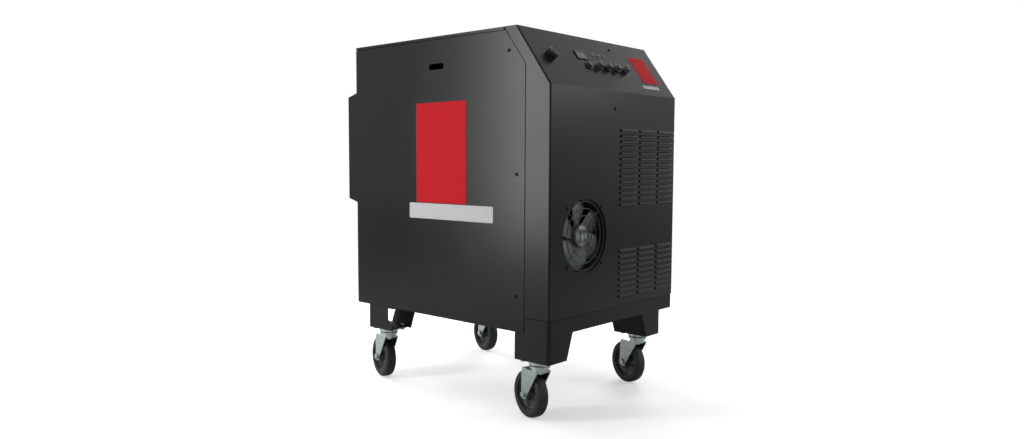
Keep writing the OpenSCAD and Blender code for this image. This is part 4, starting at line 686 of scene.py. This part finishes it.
def fanBlade(bm):  # one cambered, twisted blade, with the fan's axis along Z and its front at z = 0
    across, along = 14, 12
    sides = []
    for side in (-1, 1):
        grid = []
        for i in range(across + 1):
            radius, chord, pitch, sweep = bladeSection(i / across)
            row = []
            for j in range(along + 1):
                s = j / along - 0.5
                bow = fan["camber"] * chord * (1 - 4 * s * s)
                fullness = math.sqrt(max(0.0, 1 - (2 * s) ** 2))
                thick = side * fan["thickness"] / 2 * fullness + side * fan["edge"]
                swing = s * chord * math.cos(pitch) + bow * math.sin(pitch)
                z = s * chord * math.sin(pitch) - (bow + thick) * math.cos(pitch)
                angle = swing / radius + sweep
                depth = fan["depth"] / 2 + fan["setBack"] + z
                row.append(bm.verts.new((radius * math.cos(angle), radius * math.sin(angle), depth)))
            grid.append(row)
        sides.append(grid)
    front, back = sides
    for grid in sides:
        for i in range(across):
            for j in range(along):
                bm.faces.new((grid[i][j], grid[i + 1][j], grid[i + 1][j + 1], grid[i][j + 1]))
    for i in range(across):
        for j in (0, along):
            bm.faces.new((front[i][j], front[i + 1][j], back[i + 1][j], back[i][j]))
    for j in range(along):
        for i in (0, across):
            bm.faces.new((front[i][j], front[i][j + 1], back[i][j + 1], back[i][j]))


def fanHub(bm):  # a pressed spider with a rounded nose and a small centre cap
    hub, depth = fan["hub"], fan["depth"]
    barrel = [(depth + 0.02, 0.004), (depth, 0.004), (depth, hub - 0.002), (depth - 0.001, hub)]
    nose = [(0.006, hub), (0.003, hub - 0.001), (0.0012, hub - 0.0035), (0.0004, hub - 0.007)]
    centre = [(0.0004, 0.012), (0.0012, 0.0112), (0.0012, 0.0085), (0.0002, 0.0078), (0.0002, 0.003)]
    turned(bm, barrel + nose + centre, 64)


def bladesTree(blade):  # the blade repeated round the axis, beside the hub it is given
    tree, inputs, start = newTree("bladesTree", blades="Int")
    number = addNode(tree, "GeometryNodeInputIndex")
    share = addNode(tree, "ShaderNodeMath", {
        0: number.outputs[0], 1: start.outputs["blades"],
    }, operation="DIVIDE")
    turn = addNode(tree, "ShaderNodeMath", {0: share.outputs[0], 1: 2 * math.pi}, operation="MULTIPLY")
    euler = addNode(tree, "ShaderNodeCombineXYZ", {"Z": turn.outputs[0]})
    points = addNode(tree, "GeometryNodePoints", {"Count": start.outputs["blades"]})
    source = addNode(tree, "GeometryNodeObjectInfo", {"Object": blade})
    copies = addNode(tree, "GeometryNodeInstanceOnPoints", {
        "Points": points.outputs[0], "Instance": source.outputs["Geometry"], "Rotation": euler.outputs[0],
    })
    whole = addNode(tree, "GeometryNodeJoinGeometry", {"Geometry": copies.outputs[0]})
    tree.links.new(start.outputs["Geometry"], whole.inputs["Geometry"])
    closeTree(tree, whole.outputs[0], finishes["blade_aluminium"])
    return tree, inputs


fanTurn = Matrix.Rotation(math.radians(-90), 4, "X") @ Matrix.Rotation(math.radians(fan["turn"]), 4, "Z")
fanPlace = Matrix.Translation(fan["centre"]) @ fanTurn
blade = meshObject("fanBladeShape", fanBlade)
fanWheel = meshObject("fanWheel", fanHub)
grow(fanWheel, *bladesTree(blade), blades=fan["blades"])
bpy.data.objects.remove(blade)
fanWheel.data.transform(fanPlace)
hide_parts("fan_impeller")
finishPiece(fanWheel, finishes["blade_aluminium"], "impeller", smoothAngle=40)


def hubCapShape(bm):  # a spun cap pressed over the hub's nose
    inside = [(0.0010, 0.0085), (0.0040, 0.0275)]
    rim = [(0.0044, 0.0292), (0.0036, 0.0296), (0.0014, 0.0290), (-0.0002, 0.0275), (-0.0012, 0.0245)]
    face = [(-0.0016, 0.0200), (-0.0016, 0.0100), (-0.0010, 0.0088), (-0.0010, 0.0030)]
    turned(bm, inside + rim + face, 64, fanPlace)


hubCap = meshObject("fanHubCap", hubCapShape)
ductShadedCap = metal("ductShadedHubAluminium", "#757b7a", 0.62, grain=1.5, spread=0.05)  # a little paler than the blades; its grey is partly painted shade of the duct
finishPiece(hubCap, ductShadedCap, "impeller", smoothAngle=50)
print("fan:", fan["blades"], "blades")


# ---- controls ----

control = {
    "first": -0.074, "pitch": 0.043, "rise": 0.084,  # the button's place, and the knobs' after it
    "knobRadius": 0.012, "flutes": 18, "knobFoot": 0.0015, "knobHeight": 0.0165,
    "pointerWidth": 0.0012, "pointerFoot": 0.0066,
    "tickRadius": 0.0165, "tickLength": 0.0036, "tickWidth": 0.0009, "tickHeight": 0.00015,
}


def onConsole(x, y, turn=0.0):
    return consoleFrame @ Matrix.Translation((x, y, 0)) @ Matrix.Rotation(math.radians(turn), 4, "Z")


def fluted(radius, depth):
    return lambda angle: radius - depth * (0.5 + 0.5 * math.cos(control["flutes"] * angle)) ** 2


def knobShape(place):
    foot, height, wide = control["knobFoot"], control["knobHeight"], control["knobRadius"]
    shaft = [(-0.003, 0.003), (foot, 0.003)]
    skirt = [(foot, wide - 0.0006), (foot + 0.0005, wide), (foot + 0.0026, wide),
             (foot + 0.0032, wide - 0.0006)]
    grip = [(foot + 0.0038, fluted(wide - 0.0012, 0.0006)),
            (height - 0.0012, fluted(wide - 0.0022, 0.0006)),
            (height - 0.0003, fluted(wide - 0.0030, 0.0004))]
    top = [(height, wide - 0.0038), (height - 0.0004, wide - 0.0045)]
    return lambda bm: turned(bm, shaft + skirt + grip + top, 144, place)


def pointerShape(place):  # a pale line let into the top and down the front of the knob
    top, wide = control["knobHeight"], control["knobRadius"]
    halfWidth, foot = control["pointerWidth"] / 2, control["pointerFoot"]
    side = [(0.0022, top - 0.0015), (0.0022, top + 0.0004), (wide - 0.0032, top + 0.0004),
            (wide - 0.0018, top - 0.0008), (wide - 0.0006, foot), (wide - 0.0016, foot),
            (wide - 0.0034, top - 0.0015)]

    def build(bm):
        faces = []
        for x in (-halfWidth, halfWidth):
            faces.append([bm.verts.new(place @ Vector((x, y, z))) for y, z in side])
        bm.faces.new(faces[0])
        bm.faces.new(list(reversed(faces[1])))
        for i in range(len(side)):
            j = (i + 1) % len(side)
            bm.faces.new((faces[0][i], faces[0][j], faces[1][j], faces[1][i]))
    return build


printInk = moulded("paleScreenPrint", "#c9cacb", 0.5, grain=2.0, level=0.2, spread=0.05)  # pale and matt


def tickTree():  # ticks of one size round an arc, by angles that start from the top
    tree, inputs, start = newTree(
        "tickTree", count="Int", first="Float", step="Float", radius="Float", size="Vector")
    number = addNode(tree, "GeometryNodeInputIndex")
    angle = addNode(tree, "ShaderNodeMath", {
        0: number.outputs[0], 1: start.outputs["step"], 2: start.outputs["first"],
    }, operation="MULTIPLY_ADD")
    sine = addNode(tree, "ShaderNodeMath", {0: angle.outputs[0]}, operation="SINE")
    cosine = addNode(tree, "ShaderNodeMath", {0: angle.outputs[0]}, operation="COSINE")
    minusSine = addNode(tree, "ShaderNodeMath", {0: sine.outputs[0], 1: -1.0}, operation="MULTIPLY")
    spoke = addNode(tree, "ShaderNodeCombineXYZ", {"X": minusSine.outputs[0], "Y": cosine.outputs[0]})
    place = addNode(tree, "ShaderNodeVectorMath", {
        0: spoke.outputs[0], "Scale": start.outputs["radius"],
    }, operation="SCALE")
    points = addNode(tree, "GeometryNodePoints", {
        "Count": start.outputs["count"], "Position": place.outputs[0],
    })
    lean = addNode(tree, "ShaderNodeCombineXYZ", {"Z": angle.outputs[0]})
    tick = addNode(tree, "GeometryNodeMeshCube", {"Size": start.outputs["size"]})
    copies = addNode(tree, "GeometryNodeInstanceOnPoints", {
        "Points": points.outputs[0], "Instance": tick.outputs["Mesh"], "Rotation": lean.outputs[0],
    })
    closeTree(tree, copies.outputs[0], printInk)
    return tree, inputs


ticks, tickInputs = tickTree()
dials = {  # control number, rest angle, and the scale's first angle, last angle and ticks
    "current": (1, 30, -105, 165, 11),
    "gas_select": (2, 0, -60, 60, 3),
    "plasma_pressure": (3, 45, -90, 170, 9),
    "shield_pressure": (4, -30, -170, 90, 9),
}
for name, (number, restAngle, firstAngle, lastAngle, count) in dials.items():
    x = control["first"] + number * control["pitch"]
    place = onConsole(x, control["rise"], restAngle)
    knobPiece = meshObject(name + "Knob", knobShape(place))
    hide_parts(name + "_knob")
    finishPiece(knobPiece, finishes["knob_plastic"], name + "_dial", smoothAngle=40)
    pointer = meshObject(name + "Pointer", pointerShape(place))
    finishPiece(pointer, printInk, name + "_dial")

    scale = meshObject(name + "Scale", lambda bm: None)
    step = math.radians(lastAngle - firstAngle) / (count - 1)
    size = (control["tickWidth"], control["tickLength"], control["tickHeight"])
    grow(scale, ticks, tickInputs, count=count, first=math.radians(firstAngle), step=step,
         radius=control["tickRadius"], size=size)
    scale.data.transform(onConsole(x, control["rise"]))
    finishPiece(scale, printInk, "cabinet")


def buttonShape(bm):  # a round push button with a soft edge and a dished face
    stem = [(-0.004, 0.0089), (0.0072, 0.0089)]
    edge = [(0.0083, 0.0085), (0.0088, 0.0078), (0.0089, 0.0070)]
    dish = [(0.0084, 0.0058), (0.0081, 0.0030)]
    turned(bm, stem + edge + dish, 64, onConsole(control["first"], control["rise"]))


powerButton = meshObject("powerButton", buttonShape)
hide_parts("power_button")
finishPiece(powerButton, finishes["button_plastic"], "button", smoothAngle=50)

pilot = {"x": (-0.021, 0.005, 0.031), "y": 0.128, "radius": 0.004}  # metres on the console


def lampLens(bm):  # a domed lens
    r = pilot["radius"]
    dome = [(0.0021, r - 0.0013), (0.0029, r - 0.0019), (0.0033, r - 0.0026), (0.0035, r - 0.0034)]
    turned(bm, [(-0.004, r - 0.0014), (0.0013, r - 0.0011)] + dome, 40)


def lampBezel(bm):  # the bright ring that holds it
    r = pilot["radius"]
    outside = [(0, r), (0.0008, r), (0.0013, r - 0.0002), (0.0016, r - 0.0007)]
    turned(bm, [(0, r - 0.0012)] + outside + [(0.0013, r - 0.0012)], 40, closed=True)


lampSpots = [(consoleFrame @ Vector((x, pilot["y"], 0)), consoleFrame.to_3x3() @ up) for x in pilot["x"]]
lenses = scatter("lampLenses", lampLens, lampSpots, finishes["lamp_plastic"])
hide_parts("indicator_lamps")
finishPiece(lenses, finishes["lamp_plastic"], "cabinet", smoothAngle=60)
bezels = scatter("lampBezels", lampBezel, lampSpots, finishes["socket_shell"])
finishPiece(bezels, finishes["socket_shell"], "cabinet", smoothAngle=40)

display = {  # metres on the console
    "centre": (-0.084, 0.118), "width": 0.050, "height": 0.030, "proud": 0.003, "border": 0.004,
    "bevel": 0.0006, "corner": 0.002, "bevelCorner": 0.0016, "innerCorner": 0.0012,
    "paneOverlap": 0.0002, "paneCorner": 0.0014,
    "paneFoot": 0.0002, "paneDepth": 0.0012,  # depth below the frame's face
}


def displayOutline(inset, corner):
    width, height = display["width"] - 2 * inset, display["height"] - 2 * inset
    return roundedOutline(display["centre"], width, height, corner)


def displayFrame(bm):  # the frame round the window, with a bevelled outer edge
    proud, bevel = display["proud"], display["bevel"]
    outer = displayOutline(0, display["corner"])
    softened = displayOutline(bevel, display["bevelCorner"])
    inner = displayOutline(display["border"], display["innerCorner"])
    layers = [(0, inner), (0, outer), (proud - bevel, outer), (proud, softened), (proud, inner)]
    stacked(bm, consoleFrame, layers, closed=True)


def displayGlass(bm):  # the pane, let a little into the frame all round
    pane = displayOutline(display["border"] - display["paneOverlap"], display["paneCorner"])
    stacked(bm, consoleFrame, [(display["paneFoot"], pane), (display["proud"] - display["paneDepth"], pane)])


displayBezel = meshObject("displayBezel", displayFrame)
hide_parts("display_window")
finishPiece(displayBezel, finishes["button_plastic"], "cabinet")
displayPane = meshObject("displayPane", displayGlass)
finishPiece(displayPane, finishes["window_plastic"], "cabinet")

cap = {  # metres, in heights above the console
    "place": (-0.228, 0.100), "radius": 0.016, "foot": 0.0010, "top": 0.019, "bore": 0.0115, "roof": 0.0141,
    "grips": 12, "gripDepth": 0.0013,
}


def capShape(bm):  # a screw cap: hollow below, grooved round the skirt, dished on top
    wide, top, foot = cap["radius"], cap["top"], cap["foot"]

    def grooved(inset):
        def radius(angle):
            groove = (0.5 + 0.5 * math.cos(cap["grips"] * angle)) ** 4
            return wide - inset - cap["gripDepth"] * groove
        return radius
    inside = [(cap["roof"], cap["bore"] - 0.0004), (0.0015, cap["bore"]), (foot, cap["bore"] + 0.0006)]
    skirt = [(foot, wide - 0.0010), (0.0016, grooved(0.0004)), (0.0030, grooved(0)),
             (top - 0.0038, grooved(0)), (top - 0.0020, grooved(0.0008)), (top - 0.0006, wide - 0.0022)]
    lip = [(top, wide - 0.0032), (top - 0.0002, wide - 0.0042), (top - 0.0010, wide - 0.0052)]
    dish = [(top - 0.0012, 0.0060), (top - 0.0007, 0.0052), (top - 0.0007, 0.0015)]
    turned(bm, inside + skirt + lip + dish, 144, onConsole(*cap["place"]))


fillerCap = meshObject("fillerCap", capShape)
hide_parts("filler_cap")
finishPiece(fillerCap, finishes["cap_plastic"], "cap", smoothAngle=40)
print("controls:", len(dials), "dials")


# ---- gas inlets ----

inlet = {  # metres, in heights above the panel
    "x": (-0.205, -0.135), "sheet": 0.002, "corners": 0.028, "hexHeight": 0.010,
    "thread": 0.008, "root": 0.0071, "pitch": 0.0018, "undercut": 0.003, "length": 0.038, "lead": 0.001,
    "bore": 0.0045, "boreFoot": 0.012,
}


def inletShape(bm):  # a hexagon flange and a threaded spigot with an open bore, its foot on the panel
    corners, hexHeight, bore = inlet["corners"], inlet["hexHeight"], inlet["bore"]
    flat, chamfer = hexagon(corners), hexagon(corners, corners * 0.46)
    thread, root, length = inlet["thread"], inlet["root"], inlet["length"]
    rings = [(-inlet["sheet"], thread), (0, thread), (0, corners * 0.47), (0.0005, flat),
             (hexHeight - 0.0012, flat), (hexHeight, chamfer), (hexHeight, root)]
    z = hexHeight + inlet["undercut"]
    while z + inlet["pitch"] < length - inlet["lead"]:
        rings += [(z, root), (z + inlet["pitch"] * 0.42, thread), (z + inlet["pitch"] * 0.58, thread)]
        z += inlet["pitch"]
    rings += [(z, root), (length - inlet["lead"], root), (length, root - 0.0008), (length, bore + 0.0006),
              (length - 0.0006, bore), (inlet["boreFoot"], bore)]
    turned(bm, rings, 36)


inletNode = nodes["gas_inlets"]
low, high = spanOf([inletNode.matrix_world @ corner.co for corner in inletNode.data.vertices])
inletSpots = [(Vector((x, cabinet["rear"], (low.z + high.z) / 2)), Vector((0, 1, 0))) for x in inlet["x"]]
inlets = scatter("gasInlets", inletShape, inletSpots, finishes["inlet_brass"])
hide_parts("gas_inlets")
finishPiece(inlets, finishes["inlet_brass"], "cabinet", smoothAngle=30)


# ---- wheels ----

wheel = {  # metres, and degrees for the toe, by which each fork stands turned at rest
    "kingpinX": {"left": -0.2655, "right": 0.1995}, "kingpinY": {"front": -0.348, "rear": 0.258},
    "trail": 0.040, "toe": 16, "radius": 0.0635, "halfWidth": 0.016, "rim": 0.0445, "pockets": 5,
}
hubPlastic = moulded("blackNylonHub", "#222426", 0.45, grain=2.0)  # black, with a soft sheen


def tyreShape(place):  # a solid tyre with rounded shoulders and a line round each side
    r, w, rim = wheel["radius"], wheel["halfWidth"], wheel["rim"]
    tread = [(0.0, r), (0.004, r), (w - 0.007, r - 0.0004), (w - 0.0045, r - 0.0011)]
    shoulder = [(w - 0.0022, r - 0.0030), (w - 0.0007, r - 0.0055), (w - 0.0001, r - 0.0080),
                (w, r - 0.0100)]
    groove = [(w - 0.0006, r - 0.0106), (w - 0.0006, r - 0.0120), (w, r - 0.0126)]
    bead = [(w, rim + 0.0015), (w - 0.0010, rim), (w - 0.006, rim - 0.001)]
    half = tread + shoulder + groove + bead
    rings = half + [(-z, radius) for z, radius in reversed(half[1:])]
    return lambda bm: turned(bm, rings, 96, place, closed=True)


def hubShape(place):  # a moulded wheel centre with a boss and ribs
    rim = wheel["rim"]

    def web(shallow, deep):  # pockets between the ribs
        return lambda angle: deep + (shallow - deep) * max(0.0, math.cos(wheel["pockets"] * angle)) ** 8
    boss = [(0.018, 0.0054), (0.018, 0.0125), (0.0172, 0.0135), (0.0120, 0.0145)]
    pockets = [(web(0.0105, 0.0060), 0.0175), (web(0.0105, 0.0050), 0.0210), (web(0.0105, 0.0050), 0.0365),
               (web(0.0105, 0.0060), 0.0392)]
    half = boss + pockets + [(0.0110, 0.0405), (0.0110, rim + 0.0004)]
    otherHalf = []
    for z, radius in reversed(half):
        otherHalf.append(((lambda angle, depth=z: -depth(angle)) if callable(z) else -z, radius))
    return lambda bm: turned(bm, half + otherHalf, 100, place, closed=True)


toe = math.radians(wheel["toe"])
corners = [(end, side) for end in wheel["kingpinY"] for side in wheel["kingpinX"]]
for end, side in corners:
    corner = end + "_" + side
    x = wheel["kingpinX"][side] + wheel["trail"] * math.sin(toe)
    y = wheel["kingpinY"][end] + wheel["trail"] * math.cos(toe)
    axle = Matrix.Rotation(-toe, 4, "Z") @ Matrix.Rotation(math.radians(90), 4, "Y")
    place = Matrix.Translation((x, y, wheel["radius"])) @ axle
    tyre = meshObject("tyre_" + corner, tyreShape(place))
    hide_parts("caster_wheel_" + corner)
    finishPiece(tyre, finishes["wheel_rubber"], "wheel_" + corner, smoothAngle=35)
    hub = meshObject("hub_" + corner, hubShape(place))
    finishPiece(hub, hubPlastic, "wheel_" + corner, smoothAngle=35)
print("wheels:", len(corners))
